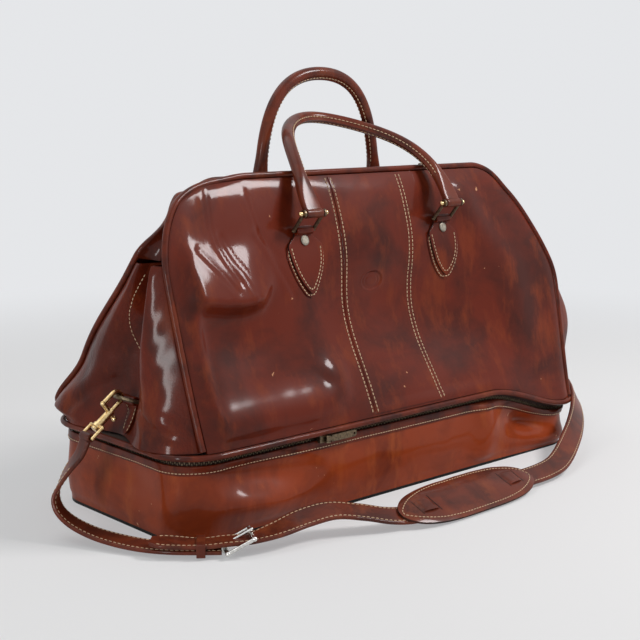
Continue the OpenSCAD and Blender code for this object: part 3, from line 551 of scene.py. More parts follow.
long_route = [
    ((-313, -99, 13.4), (0.62, 0.78, 0.12), 14),
    ((-304, -108, 12.6), (0.62, 0.78, 0.1), STRAP_W),
    ((-280, -129, 11), (0.6, 0.8, 0), STRAP_W),
    (near_bar + vec(0, 0, 6.9), across, STRAP_W),
    (far_bar - vec(0, 0, 4.5), across, STRAP_W),
    ((-216, -159, 17), (0.2, 0.95, 0.2), STRAP_W),
    ((-188, -162, 22), (0, 0.93, 0.38), STRAP_W),
    ((-158, -168, 24), (0, 0.93, 0.38), STRAP_W),
    ((-130, -180, 19), (0.1, 0.93, 0.38), STRAP_W),
    ((-106, -191, 13), (0.2, 0.93, 0.38), STRAP_W),
    ((-80, -197, 10), (0, 0.93, 0.38), STRAP_W),
    ((-40, -196, 10), (0, 0.93, 0.38), STRAP_W),
    ((0, -195, 10), (0, 0.93, 0.38), STRAP_W),
    ((40, -194, 10), (0, 0.93, 0.38), STRAP_W),
    ((80, -193, 10), (0, 0.93, 0.38), STRAP_W),
    ((120, -192, 10), (0, 0.92, 0.4), STRAP_W),
    ((148, -189, 12), (-0.2, 0.9, 0.4), STRAP_W),
    ((172, -181, 16), (-0.4, 0.8, 0.45), STRAP_W),
    ((202, -167, 23), (-0.4, 0.7, 0.55), STRAP_W),
    ((236, -149, 32), (-0.35, 0.6, 0.7), STRAP_W),
    ((268, -128, 41), (-0.35, 0.45, 0.8), STRAP_W),
    ((298, -102, 50), (-0.3, 0.3, 0.9), STRAP_W),
    ((318, -74, 57), (-0.1, 0.3, 0.95), STRAP_W),
    ((329, -48, 62), (0, 0.4, 0.9), STRAP_W),
    ((331, -28, 68), (0, 0.7, 0.6), 20),
    ((326, -16, 76), (0, 1, 0.2), 16),
    (clear_of(right_end, 3.4, vec(5, 0, -8.4)), (0, 1, 0), 15),
]


def strap_piece(name, route, end, cad_node, sewing_group):
    rows = through([[*p, *unit(w), size] for p, w, size in route], 3.0)
    path, width = rows[:, :3], rows[:, 6]
    ahead = unit(np.gradient(path, axis=0))
    wide = unit(rows[:, 3:6] - (rows[:, 3:6] * ahead).sum(1, keepdims=True) * ahead)
    high = np.cross(ahead, wide)
    profile = np.stack([strap_profile(w, STRAP_T) for w in width])
    points, faces = sweep(path, wide, high, profile)
    turns = np.linspace(0, 2 * np.pi, 24, endpoint=False)
    ring = np.stack([EYE_R * vec(math.cos(t), 0, math.sin(t)) for t in turns])
    ahead_ring = unit(np.roll(ring, -1, 0) - np.roll(ring, 1, 0))
    axis = vec(0, 1, 0)
    eye = strap_profile(15, 2.2, 0.7)
    loop, loop_faces = sweep(end + ring, axis[None], np.cross(ahead_ring, axis), eye, closed=True)
    faces = faces + [[v + len(points) for v in f] for f in loop_faces]
    obj = new_piece(name, np.concatenate([points, loop]), faces, strap_leather, None, [cad_node])
    wide_run = width > 19
    for side in (-1, 1):
        for face in (-1, 1):
            line = path + wide * (side * (width / 2 - 2.6))[:, None] + high * (face * STRAP_T / 2)
            sew(sewing_group, line[wide_run], (high * face)[wide_run], pitch=4.6, radius=0.42)
    return obj, path, run_along(path)[-1]


def bend_short(piece):
    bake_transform(piece)


def bend_long(piece):
    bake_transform(piece)


short_strap, short_path, short_length = strap_piece(
    "short_strap_leather", short_route, left_end, "short_strap", "short_strap_stitches"
)
long_strap, long_path, long_length = strap_piece(
    "long_strap_leather", long_route, right_end, "long_strap", "long_strap_stitches"
)
bend_short(short_strap)
bend_long(long_strap)
print("strap lengths, mm:", round(short_length), round(long_length))

# %% [markdown]
# The upper body is soft leather that keeps its bag shape only by its seams. Its outline, its lean and the
# roundness of its corners are the same functions that the CAD solids use, written for whole arrays of points.

# %% Shape of the soft body
Z_LOW, Z_SHOULDER, TOP, SIDE_W, TOP_W, LOOP_R, INSET, SKIN = 82.0, 236.0, 326.0, 268.0, 195.0, 46.0, 3.3, 2.6
FOOT = Z_LOW + INSET
ROUND_W, ROUND_H = SIDE_W - TOP_W, TOP - Z_SHOULDER
PLAN_X, PLAN_Y, PLAN_R, WALL_TOP = 243.0, 71.0, 40.0, 71.0
REACH = {-1: 100.0, 1: 84.0}


def rise(z):
    return (z - Z_LOW) / (TOP - Z_LOW)


def half_depth(z, power):
    return 25 + 92 * np.maximum(0, 1 - rise(z)) ** power


def edge_w(z):
    low = SIDE_W - 6 * (1 - (z - Z_LOW) / (Z_SHOULDER - Z_LOW)) ** 2
    high = TOP_W + ROUND_W * np.sqrt(np.maximum(0, 1 - ((z - Z_SHOULDER) / ROUND_H) ** 2))
    return np.where(z <= Z_SHOULDER, low, high)


def shoulder(a):
    return TOP_W + ROUND_W * np.cos(a), Z_SHOULDER + ROUND_H * np.sin(a)


def dip(x, z):
    a = np.minimum(np.maximum(0, abs(x) - PLAN_X), 0.8 * LOOP_R)
    corner = LOOP_R - np.sqrt(LOOP_R**2 - a * a)
    slack = 6 * (1 - (x / SIDE_W) ** 2) * np.sin(np.pi * rise(z)) * 2 * (1 - rise(z))
    return slack + corner * (1 - rise(z)) ** 2


def pinch(x, z):
    easing_off = 1 - 0.5 * ease((z - TOP + 51) / 45)
    return 50 * ease((abs(x) - TOP_W) / 55) * ease((z - Z_LOW - 68) / 120) * easing_off


def skin_y(s, x, z):
    if s < 0:
        return dip(x, z) - half_depth(z, 0.9) - 14 * rise(z)
    return half_depth(z, 1.4) - dip(x, z) - 14 * rise(z) - pinch(x, z)


def seam_y(s, w, z):
    return skin_y(s, w, z) - s * SKIN / 2


def swell(x, z, cx, cz, wx, wz, turn=0.0):
    c, n = math.cos(math.radians(turn)), math.sin(math.radians(turn))
    u, v = (x - cx) * c + (z - cz) * n, (z - cz) * c - (x - cx) * n
    return np.exp(-((u / wx) ** 2) - (v / wz) ** 2)


def crease(x, z, line, wide):
    best = np.full(np.broadcast(x, z).shape, 1e9)
    for (ax, az), (bx, bz) in zip(line, line[1:]):
        dx, dz = bx - ax, bz - az
        t = np.clip(((x - ax) * dx + (z - az) * dz) / (dx**2 + dz**2), 0, 1)
        best = np.minimum(best, np.hypot(x - ax - t * dx, z - az - t * dz))
    return bell(best / wide)


def ripple(x, z, seed, size):
    rng = np.random.default_rng(seed)
    total, waves = 0.0, 7
    for _ in range(waves):
        a, p, k = rng.uniform(0, 2 * np.pi), rng.uniform(0, 2 * np.pi), rng.uniform(0.6, 1.6)
        total = total + np.sin(2 * np.pi * k * (x * math.cos(a) + z * math.sin(a)) / size + p)
    return total / waves


def droop(p):
    x, y, z = p[..., 0], p[..., 1], p[..., 2]
    amount = 31 * ease((x - 122) / 128) * ease((10 - y) / 90)
    hold = np.where(z < WALL_TOP, z / WALL_TOP, 1 - ease((z - 95) / 120))
    lean_in = 8 * ease((z - 295) / 30) - 32 * ease((z - 190) / 95)
    foot_out = 11 * ease((-22 - y) / 40) * ease((z - 60) / 25) * ease((330 - z) / 60)
    sideways = ease((x - 80) / 140) * (lean_in + foot_out)
    belly = 13 * ease((-x - 150) / 100) * ease((y - 20) / 70) * bell((z - 100) / 30) * ease((z - FOOT) / 14)
    tuck = ease((-x - 150) / 60) * ease((z - 255) / 50) * ease((y + 50) / 25)
    settle = 10 * tuck + 6 * ease((z - 285) / 35) * ease((y + 6) / 14)
    return np.stack([x + sideways - belly + 18 * tuck, y + belly, z - amount * hold - settle], -1)


print("front lean at the top, mm:", round(float(skin_y(-1, 0.0, TOP)), 1))

# %% [markdown]
# No panel of a used bag is flat. The photograph shows a hollow under a hard fold at the upper left, a bright
# roll along the foot, a broad hollow right of the middle and long fine creases that run down from the top.
# A cloth simulation would give other folds each time, so these are pressed in one by one.

# %% Folds of the front and rear panels
FRONT_CREASES = [
    [(-208, 318), (-208, 302), (-211, 281), (-209, 265), (-203, 249), (-194, 230)],
    [(-158, 319), (-156, 299), (-153, 280), (-150, 264), (-139, 244), (-122, 210)],
    [(-200, 271), (-193, 252), (-184, 239), (-174, 212)],
    [(-155, 273), (-145, 260), (-133, 246)],
    [(-232, 262), (-214, 240), (-200, 222)],
]


def hard_fold(x, z):
    line = np.interp(x, [-262, -237, -213, -192, -166, -150], [226, 220, 216, 214, 217, 228])
    q = (z - line) / 52
    above = 0.5 * (1 - q + np.sqrt((1 - q) ** 2 + 0.03))
    below = bell(np.minimum(q, 0) * 4.2)
    return np.where(q > 0, above, below) * ease((x + 268) / 30) * ease((-136 - x) / 46)


def front_relief(x, z):
    hollow = swell(x, z, -207, 172, 52, 34) - 0.35 * swell(x, z, -207, 150, 40, 30)
    roll = crease(x, z, [(-240, 108), (-191, 110), (-141, 110), (-104, 112), (-92, 120), (-90, 132)], 18)
    out = 14 * hard_fold(x, z) - 9 * hollow + 7 * roll
    out = out + 4 * crease(x, z, [(-248, 200), (-246, 160), (-248, 118)], 9)
    out = out - 15 * swell(x, z, 75, 152, 95, 44) - 13 * swell(x, z, 25, 198, 95, 40)
    out = out - 5 * swell(x, z, -55, 170, 55, 42)
    out = out + 5 * crease(x, z, [(158, 285), (180, 235), (190, 170)], 30)
    out = out + 4 * swell(x, z, -10, 262, 60, 40)
    out = out + 0.7 * ripple(x, z, 3, 90) + 0.18 * ripple(x, z, 5, 34)
    for line in FRONT_CREASES:
        out = out - 0.9 * crease(x, z, line, 2.6) + 0.6 * crease(x + 5, z, line, 4.0)
    oval = ((x + 8) / 14) ** 2 + ((z - 214) / 9) ** 2
    groove = bell((oval - 1.0) / 0.2) + 0.6 * bell((oval - 0.5) / 0.13)
    return out - 0.5 * ease((1.1 - oval) / 0.24) - 0.8 * groove + 0.3 * bell((oval - 1.4) / 0.22)


def rear_relief(x, z):
    out = -9 * swell(x, z, 40, 160, 110, 45) + 4 * swell(x, z, -120, 240, 70, 40)
    out = out - 6 * swell(x, z, -190, 150, 60, 40)
    out = out + 4 * crease(x, z, [(150, 280), (175, 220), (200, 150)], 26)
    out = out + 4 * crease(x, z, [(-230, 110), (-100, 114), (60, 108), (220, 112)], 15)
    return out + 1.2 * ripple(x, z, 11, 95) + 0.4 * ripple(x, z, 13, 36)


def relief(s, x, z):
    w = edge_w(np.minimum(z, TOP)) - INSET
    rim = np.minimum(np.minimum(w - abs(x), (TOP - INSET - z) * 1.2), (z - FOOT) * 1.5)
    folds = front_relief(x, z) if s < 0 else rear_relief(x, z)
    out = folds * ease(rim / 22) + 1.9 * (1 - np.exp(-np.maximum(rim, 0) / 9))
    tab = np.maximum(swell(x, z, -REACH[s], 268, 30, 26), swell(x, z, REACH[s], 268, 30, 26))
    return out * (1 - np.minimum(1, 1.25 * tab))


def panel_point(s, x, z, off=0.0):
    x, z = np.broadcast_arrays(np.asarray(x, float), np.asarray(z, float))
    return droop(np.stack([x, skin_y(s, x, z) + s * (relief(s, x, z) + off), z], -1))


def panel_out(s, x, z):
    e = 1.0
    a = panel_point(s, x + e, z) - panel_point(s, x - e, z)
    b = panel_point(s, x, z + e) - panel_point(s, x, z - e)
    n = unit(np.cross(a, b))
    return n * np.sign(s * n[..., 1:2])


def panel_rows():
    lower = np.linspace(FOOT, Z_SHOULDER, 62)
    rows = [(edge_w(np.float64(z)) - INSET, z) for z in lower]
    for a in np.radians(np.linspace(0, 90, 45)[1:]):
        n = unit(vec(math.cos(a) / ROUND_W, math.sin(a) / ROUND_H))
        rows.append(vec(*shoulder(a)) - n * INSET)
    return np.array(rows, float)


rows = panel_rows()
spread = np.linspace(-1, 1, 211)
CROWDING = np.pi / 2 * 0.72
for s, name, cad_node in ((-1, "front_skin", "front_panel"), (1, "rear_skin", "rear_panel")):
    x = rows[:, :1] * np.sin(spread * CROWDING)[None, :] / math.sin(CROWDING)
    z = np.repeat(rows[:, 1:2], len(spread), 1)
    outer = panel_point(s, x, z)
    points, faces = sheet(outer, panel_point(s, x, z, -SKIN), flip=s > 0)
    new_piece(name, points, faces, panel_leather, "bag", [cad_node])
print("panel grid:", outer.shape[:2])

# %% [markdown]
# A band of leather runs down the middle of each panel, held by a row of stitches on each side of its cut edge.
# It is its own thin sheet on top of the skin, so its edge throws a fine shadow line between the two rows.

# %% Middle bands and their rows of stitches
for s, name, cad_node in ((-1, "front_middle_band", "front_band"), (1, "rear_middle_band", "rear_band")):
    z = np.linspace(FOOT + 3, TOP - INSET - 1.5, 211 if s < 0 else 96)[:, None]
    x = np.linspace(-50, 50, 101 if s < 0 else 51)[None, :]
    lift = 1.3 - 0.9 * (abs(x) > 49.5)
    points, faces = sheet(panel_point(s, x, z, lift), panel_point(s, x, z, 0.15), flip=s > 0)
    new_piece(name, points, faces, panel_leather, "bag", [cad_node])
    line = np.linspace(FOOT + 4, TOP - INSET - 2, 160)
    for at, off in ((46.8, 1.3), (53.2, 0.0)):
        for side in (-1, 1):
            edge = np.full_like(line, side * at)
            row = panel_point(s, edge, line, off)
            sew("body_stitches", row, panel_out(s, edge, line), pitch=4.2, length=3.2)
print("middle bands sewn")

# %% [markdown]
# The end gussets fold inwards down the middle, as a concertina does, and bulge on both sides of the fold.
# Their leather is softer and more pebbled than the panels, with small wrinkles where it turns in at the foot.

# %% Gussets
GUSSET_TOP = 250.0
GUSSET_CREASES = [
    (3.0, [(-92, 112), (-60, 118), (-30, 104)], 9),
    (-2.5, [(-100, 96), (-70, 104), (-48, 124)], 5),
    (-2.2, [(60, 100), (40, 122), (16, 134)], 5),
    (2.0, [(70, 112), (40, 136), (20, 150)], 8),
]


def bump_at(q, centre, half):
    return np.maximum(0, 1 - ((q - centre) / half) ** 2) ** 2


def gusset_y(q, z):
    w = edge_w(z)
    slope = (seam_y(1, edge_w(z + 1), z + 1) - seam_y(1, edge_w(z - 1), z - 1)) / 2
    a, b = seam_y(-1, w, z) + INSET + 0.5, seam_y(1, w, z) - (INSET + 0.6) * np.sqrt(1 + slope**2)
    return a + (b - a) * q


def gusset_x(q, z):
    t = (z - Z_LOW) / (GUSSET_TOP - Z_LOW)
    v = np.sin(np.pi * (0.15 + 0.75 * t))
    flare = 27 * np.maximum(0, 1 - t) ** 4.6 * (1 - abs(2 * q - 1) ** 8)
    bulges = 18 * v * (bump_at(q, 0.24, 0.28) + 0.5 * bump_at(q, 0.76, 0.28))
    fold = 30 * (0.3 + 0.7 * t) * bump_at(q, 0.5, 0.3)
    return edge_w(z) + bulges - fold + flare


def gusset_relief(q, z, s):
    y = gusset_y(q, z)
    rim = np.minimum(np.minimum(q, 1 - q) * 180, np.minimum((z - FOOT) * 1.5, (GUSSET_TOP - z) * 1.5 + 6))
    out = 1.1 * ripple(y, z, 21 + s, 60) + 0.45 * ripple(y, z, 31 + s, 22)
    for deep, line, wide in GUSSET_CREASES:
        out = out + deep * crease(y, z, line, wide)
    if s > 0:
        out = out + 32 * bump_at(q, 0.15, 0.17) * bell((z - 152) / 36)
    beside_tab = 1 - np.minimum(1, 1.3 * swell(y, z, -12, 108, 22, 30))
    return (out * ease(rim / 20) + 1.5 * (1 - np.exp(-np.maximum(rim, 0) / 6))) * beside_tab


def gusset_point(s, q, z, off=0.0):
    q, z = np.broadcast_arrays(np.asarray(q, float), np.asarray(z, float))
    return droop(np.stack([s * (gusset_x(q, z) + gusset_relief(q, z, s) + off), gusset_y(q, z), z], -1))


for s, name, cad_node in ((-1, "left_gusset_skin", "left_gusset"), (1, "right_gusset_skin", "right_gusset")):
    q = np.linspace(0, 1, 121)[None, :]
    z = np.linspace(FOOT, GUSSET_TOP, 92)[:, None]
    points, faces = sheet(gusset_point(s, q, z), gusset_point(s, q, z, -SKIN), flip=s < 0)
    new_piece(name, points, faces, gusset_leather, "bag", [cad_node])
    t = np.linspace(0, 1, 90)
    curve_q, curve_z = 0.69 - 0.13 * t**2 + 0.03 * np.sin(np.pi * t), 240 - 76 * t
    line = gusset_point(s, curve_q, curve_z)
    sew("body_stitches", line, vec(s, 0, 0.15), pitch=4.4, length=3.0, radius=0.5, lift=0.3)
    q, z = np.linspace(0.32, 0.68, 25)[None, :], np.linspace(GUSSET_TOP - 14, GUSSET_TOP, 10)[:, None]
    end = "left" if s < 0 else "right"
    points, faces = sheet(gusset_point(s, q, z, 2.2), gusset_point(s, q, z, 0.3), flip=s < 0)
    new_piece(end + "_zip_end_patch", points, faces, edge_leather, "bag", [end + "_zip_end"])
print("gussets made")

# %% [markdown]
# Piping is a cord wrapped in a narrow strip of leather and caught in the seam. It outlines both panels and
# the foot of the body. A bevelled curve would do; a swept ring lets it follow the same slack as the panels.

# %% Piping
def tube_along(path, radius, n=12, closed=False, hint=(0, 1, 0)):
    ahead = unit(np.roll(path, -1, 0) - np.roll(path, 1, 0)) if closed else unit(np.gradient(path, axis=0))
    wide = unit(np.cross(ahead, np.asarray(hint, float)))
    return sweep(path, wide, np.cross(ahead, wide), round_profile(radius, radius, n), closed)


def seam_line(s):
    side = [(edge_w(z), z) for z in np.linspace(FOOT + 2, Z_SHOULDER, 70)]
    side += [shoulder(a) for a in np.radians(np.linspace(0, 90, 50)[1:])]
    side = np.array(side, float)
    top = np.stack([np.linspace(-TOP_W, TOP_W, 90)[1:-1], np.full(88, TOP)], -1)
    flat = np.concatenate([side * (-1, 1), top, side[::-1]])
    return droop(np.stack([flat[:, 0], seam_y(s, flat[:, 0], flat[:, 1]) + s * 0.6, flat[:, 1]], -1))


def plan_line(grow, z, n_corner=24, step=6.0):
    cx, cy, r = PLAN_X, PLAN_Y, PLAN_R + grow
    parts = []
    for k, (sx, sy) in enumerate(((1, 1), (-1, 1), (-1, -1), (1, -1))):
        a = np.radians(np.linspace(90 * k, 90 * k + 90, n_corner))
        arc = np.stack([sx * cx + r * np.cos(a), sy * cy + r * np.sin(a)], -1)
        ahead = [(-sx * cx, sy * cy + sy * r), (sx * cx + sx * r, -sy * cy)][k % 2]
        count = int((2 * cx if k % 2 == 0 else 2 * cy) / step)
        run = arc[-1] + (np.array(ahead, float) - arc[-1]) * np.linspace(0, 1, count + 1)[1:-1, None]
        parts += [arc, run]
    flat = np.concatenate(parts)
    nearest = np.clip(flat, (-cx, -cy), (cx, cy))
    out = unit(flat - nearest)
    return np.column_stack([flat, np.full(len(flat), float(z))]), np.column_stack([out, np.zeros(len(flat))])


for s, name, cad_node in ((-1, "front_seam_piping", "front_piping"), (1, "rear_seam_piping", "rear_piping")):
    points, faces = tube_along(seam_line(s), 3.0)
    new_piece(name, points, faces, edge_leather, "bag", [cad_node])
loop, loop_out = plan_line(6, Z_LOW)
points, faces = tube_along(droop(loop), 3.0, closed=True, hint=(0, 0, 1))
new_piece("foot_seam_piping", points, faces, edge_leather, "bag", ["lower_piping"])
print("foot piping, mm round:", round(run_along(loop)[-1]))

# %% [markdown]
# The shoe compartment is a low wall of the same leather on a stiff black base. In the photograph its left end
# is dented and shiny and its right front corner has collapsed under the body. The wall follows the plan of the
# base, is pushed in or out by listed dents, and is lowered with the body at the collapsed corner.

# %% Wall of the lower compartment
FRONT_DENTS = [
    (-9, -195, 54, 58, 14, -7),
    (9, -205, 27, 60, 14, -7),
    (-6, -264, 32, 13, 24),
    (-13, 196, 50, 34, 17),
    (5, 235, 22, 40, 14),
]
LEFT_DENTS = [(-6, -30, 45, 45, 20), (4, 50, 30, 40, 20)]


def wall_relief(x, y, z):
    front, left = ease((-60 - y) / 40), ease((-215 - x) / 40)
    belly = np.sin(np.pi * np.clip(z / WALL_TOP, 0, 1))
    out = 2.0 * belly * (1 + 0.5 * ripple(x + y, z, 41, 120))
    for deep, *dent in FRONT_DENTS:
        out = out + front * deep * swell(x, z, *dent)
    out = out + front * 6 * crease(x, z, [(120, 66), (128, 45), (122, 20)], 16)
    for deep, *dent in LEFT_DENTS:
        out = out + left * deep * swell(y, z, *dent)
    return (out + 0.5 * ripple(x - y, z, 43, 40)) * ease((z - 3) / 10) * ease((72 - z) / 6 + 0.25)


def wall_ring(z, off):
    base, out = plan_line(0, z)
    push = wall_relief(base[:, 0], base[:, 1], base[:, 2]) + off
    return droop(base + out * push[:, None])


def wall_layer(heights, lifts):
    return np.stack([wall_ring(z, k) for z, k in zip(heights, np.broadcast_to(lifts, len(heights)))])


heights = np.concatenate([[3.05], np.linspace(4.5, WALL_TOP, 34)])
points, faces = sheet(wall_layer(heights, 0.0), wall_layer(heights, -SKIN), wrap=True)
new_piece("lower_wall_skin", points, faces, wall_leather_painted_lighter, "bag", ["lower_wall"])
heights = np.array([63.5, 64, 66, 68, 70.6, 72.8, 73.5])
lifts = np.array([0.3, 1.2, 1.4, 1.4, 1.5, 1.2, 0.2])
points, faces = sheet(wall_layer(heights, lifts), wall_layer(heights, 0.05), wrap=True)
new_piece("wall_top_binding", points, faces, edge_leather, "bag")
ring = wall_ring(66.0, 1.4)
sew("body_stitches", closed_line(ring), closed_line(loop_out), pitch=3.6, length=2.6, radius=0.42)
print("wall rings:", len(ring))

# %% [markdown]
# A zip is two woven tapes with a row of metal or moulded teeth between them. Single teeth read even at this
# size, because the light breaks on them, so each is a small bar, set on alternate sides along the line.

# %% Lower and top zips
def teeth(path, out, across_dir, pitch=2.2, long=3.0, wide=1.1, high=1.3):
    run = run_along(path)
    at = np.arange(pitch / 2, run[-1], pitch)
    pick = lambda a: np.stack([np.interp(at, run, a[:, k]) for k in range(3)], -1)
    c, o, w = pick(path), unit(pick(out)), unit(pick(across_dir))
    t = unit(np.cross(o, w))
    c = c + w * (np.where(np.arange(len(at)) % 2, 0.8, -0.8))[:, None]
    cube = np.array([(i, j, k) for i in (-1, 1) for j in (-1, 1) for k in (-1, 1)], float)
    half = cube * vec(wide, long, high) / 2
    half[:, :2] *= np.where(cube[:, 2:] > 0, 0.7, 1.0)
    pts = c[:, None] + half[:, :1] * t[:, None] + half[:, 1:2] * w[:, None] + half[:, 2:] * o[:, None]
    one = [(0, 1, 3, 2), (4, 6, 7, 5), (0, 4, 5, 1), (2, 3, 7, 6), (0, 2, 6, 4), (1, 5, 7, 3)]
    return pts.reshape(-1, 3), [[v + 8 * i for v in f] for i in range(len(at)) for f in one]


def tape_layer(grow):
    return np.stack([droop(plan_line(grow, z)[0]) for z in np.linspace(69.5, 80.4, 7)])


def divider_layer(drop):
    ring = plan_line(2.0, 83.0)[0]
    return np.stack([droop(ring * vec(k, k, 1) - vec(0, 0, drop)) for k in np.linspace(0.02, 1, 14)])


points, faces = sheet(tape_layer(-2.9), tape_layer(-4.0), wrap=True)
new_piece("lower_zip_tape", points, faces, tape, "bag", ["lower_zip"])
bead = closed_line(droop(plan_line(-2.2, 75.0)[0]))
points, faces = teeth(bead, closed_line(loop_out), np.tile(vec(0, 0, 1), (len(bead), 1)))
new_piece("lower_zip_teeth", points, faces, bronze, "bag")
points, faces = sheet(divider_layer(0.0), divider_layer(1.8), wrap=True)
new_piece("divider_lining", points, faces, lining, "bag", ["divider_floor"])

# Each row of the line over the top holds x, z, the outward direction in x and z, and the depth of the facing.
FACING_DEEP = 6.0
angles = np.linspace(math.asin((GUSSET_TOP + 4 - Z_SHOULDER) / ROUND_H), np.pi / 2, 40)
out_x, out_z = np.cos(angles), np.sin(angles)
right = np.stack([*shoulder(angles), out_x / ROUND_W, out_z / ROUND_H, FACING_DEEP + 9 * out_x**2], -1)
flat_top = np.array([(x, TOP, 0, 1, FACING_DEEP) for x in np.linspace(TOP_W, 0, 40)[1:]])
half = np.concatenate([right, flat_top])
over = np.concatenate([half * (-1, 1, -1, 1, 1), half[::-1][1:]])
over[:, 2:4] = unit(over[:, 2:4])
over_out = np.stack([over[:, 2], 0 * over[:, 2], over[:, 3]], -1)


def over_top(depth, y):
    e = over[:, 4] + depth
    return droop(np.stack([over[:, 0] - over[:, 2] * e, y, over[:, 1] - over[:, 3] * e], -1))


def facing_layer(seam, lip, depth):
    rows = []
    for c in np.linspace(0, 1, 10):
        sag = over[:, 4] * (c**0.7 - 1) + 1.2 * math.sin(np.pi * c)
        rows.append(over_top(sag + depth, seam + (lip - seam) * c))
    return np.stack(rows, 1)


def top_tape_layer(depth):
    return np.stack([over_top(depth, middle_y + w) for w in np.linspace(-8, 8, 7)], 1)


middle_y = (skin_y(-1, over[:, 0], over[:, 1]) + skin_y(1, over[:, 0], over[:, 1])) / 2
for s, name, cad_node in ((-1, "front_facing", "front_zip_facing"), (1, "rear_facing", "rear_zip_facing")):
    seam, lip = seam_y(s, abs(over[:, 0]), over[:, 1]) - s * INSET, s * 4.6 + middle_y
    points, faces = sheet(facing_layer(seam, lip, 0.0), facing_layer(seam, lip, SKIN), flip=s > 0)
    new_piece(name, points, faces, panel_leather, "bag", [cad_node])
    line = over_top(0.0, lip + s * 3.2)
    sew("body_stitches", line, over_out, pitch=3.8, length=2.8, radius=0.45, lift=0.5)
points, faces = sheet(top_tape_layer(SKIN + 0.3), top_tape_layer(SKIN + 1.5), flip=True)
new_piece("top_zip_tape", points, faces, tape, "bag", ["top_zip"])
points, faces = teeth(over_top(SKIN - 1.1, middle_y), over_out, np.tile(vec(0, 1, 0), (len(over), 1)))
new_piece("top_zip_teeth", points, faces, bronze, "bag")
print("zips made")

# %% [markdown]
# Each handle hangs on two tabs: a leaf of thick leather with dark cut edges, sewn on a larger leaf, riveted,
# and folded round the bar of its shackle. Leaf, patch and fold are separate pieces, so every edge shows.

# %% Handle tabs
FOLD_Z, TAB_LENGTH, TAB_HALF, TAB_NECK, TAB_SLOPE = 272.0, 66, 22, 10.6, 0.94


def leaf_w(d, grow):
    length = TAB_LENGTH + grow
    early = TAB_NECK + (TAB_HALF - TAB_NECK) * ease((d - 3) / 14)
    late = TAB_HALF * np.maximum(0, 1 - np.maximum(0, (d - 18) / (length - 18)) ** 1.9) ** 0.8
    margin = grow * 0.7 * ease((d - 14) / 12) * ease((length - d) / 3)
    return np.where(d < 18, early, np.maximum(late, 0.4)) + margin


def darken_rim(piece, rows, columns):
    piece.data.materials.append(cut_edge_and_slit_shade_leather)
    for polygon in piece.data.polygons[-2 * (rows - 1 + columns - 1):]:
        polygon.material_index = 1


def loop_of_leather(centre, axis, width, thick, middle):
    axis = vec(*axis)
    u = unit(np.cross(axis, vec(0.3, 0.2, 1)))
    v = np.cross(axis, u)
    t = np.linspace(0, 2 * np.pi, 36, endpoint=False)[:, None]
    ring = middle * (np.cos(t) * u + np.sin(t) * v)
    return sweep(centre + ring, axis[None], unit(ring), strap_profile(width, thick, 0.7), closed=True)


for s, end in ((-1, "front"), (1, "rear")):
    fold_y = skin_y(s, vec(REACH[s]), vec(FOLD_Z))[0] + s * 4.9
    for x0, side in ((-REACH[s], "left"), (REACH[s], "right")):
        name = f"{end}_{side}_tab"
        for part, grow, first, low, high in (("patch", 4.0, 17.0, 0.1, 1.3), ("leaf", -0.6, 3.2, 1.3, 3.6)):
            d = np.linspace(first, TAB_LENGTH + grow, 60)[:, None]
            u = np.linspace(-1, 1, 33)[None, :]
            x, z = x0 + leaf_w(d, grow) * np.sin(u * np.pi / 2), FOLD_Z - TAB_SLOPE * d
            puff = high - 0.5 * abs(u) ** 8
            points, faces = sheet(panel_point(s, x, z, puff), panel_point(s, x, z, low), flip=s < 0)
            stands_for = [name] if part == "leaf" else []
            piece = new_piece(f"{name}_{part}", points, faces, panel_leather, "bag", stands_for)
            darken_rim(piece, d.size, u.size)
        points, faces = loop_of_leather(vec(x0, fold_y, FOLD_Z), (1, 0, 0), 21.2, 2.2, 3.25)
        new_piece(f"{name}_fold", points, faces, panel_leather)
        for grow, off, inset, first in ((4.0, 1.3, 2.0, 19.0), (-0.6, 3.5, 3.2, 17.0)):
            d = np.linspace(first, TAB_LENGTH + grow - inset * 1.5, 60)
            w = np.maximum(leaf_w(d, grow) - inset, 0.0)
            x, z = np.concatenate([x0 - w, (x0 + w)[::-1]]), FOLD_Z - TAB_SLOPE * np.concatenate([d, d[::-1]])
            line = panel_point(s, x, z, off)
            sew("body_stitches", line, panel_out(s, x, z), pitch=3.8, length=2.9, radius=0.5)
print("tabs:", 4)

# %% [markdown]
# The grips are leather rolled round a cord, closed by a sewn seam along the inside of the arch and flattened
# at both ends to loop round the shackle pins. Each is one sweep whose profile changes from a flat strip to a
# round tube.

# %% Rolled handles
PINS = {-1: vec(0, -78.10, 289.36), 1: vec(0, 25.40, 294.78)}
ARCH = {
    -1: np.array([(REACH[-1], 0), (105, 79.04), (46, 152), (0, 152)], float),
    1: np.array([(REACH[1], 0), (79.8, 55.44), (78.12, 132), (0, 132)], float),
}
GRIP_R = 6.2


def lean_at(s, r):
    if s > 0:
        return np.radians(-1.0) + 0 * r
    return np.radians(31 + 36 * (1 - np.cos(np.pi * np.minimum(1, r / 125))) / 2)


def grip_rows(s, k):
    t = 1 - abs(k)
    pull = np.stack([(1 - t) ** 3, 3 * (1 - t) ** 2 * t, 3 * (1 - t) * t * t, t**3], -1)
    out, run = (pull @ ARCH[s]).T
    steps = (np.arange(16) + 0.5) / 16
    a = lean_at(s, run[:, None] * steps[None, :])
    return PINS[s] + np.stack([np.sign(k) * out, run * np.sin(a).mean(1), run * np.cos(a).mean(1)], -1), run


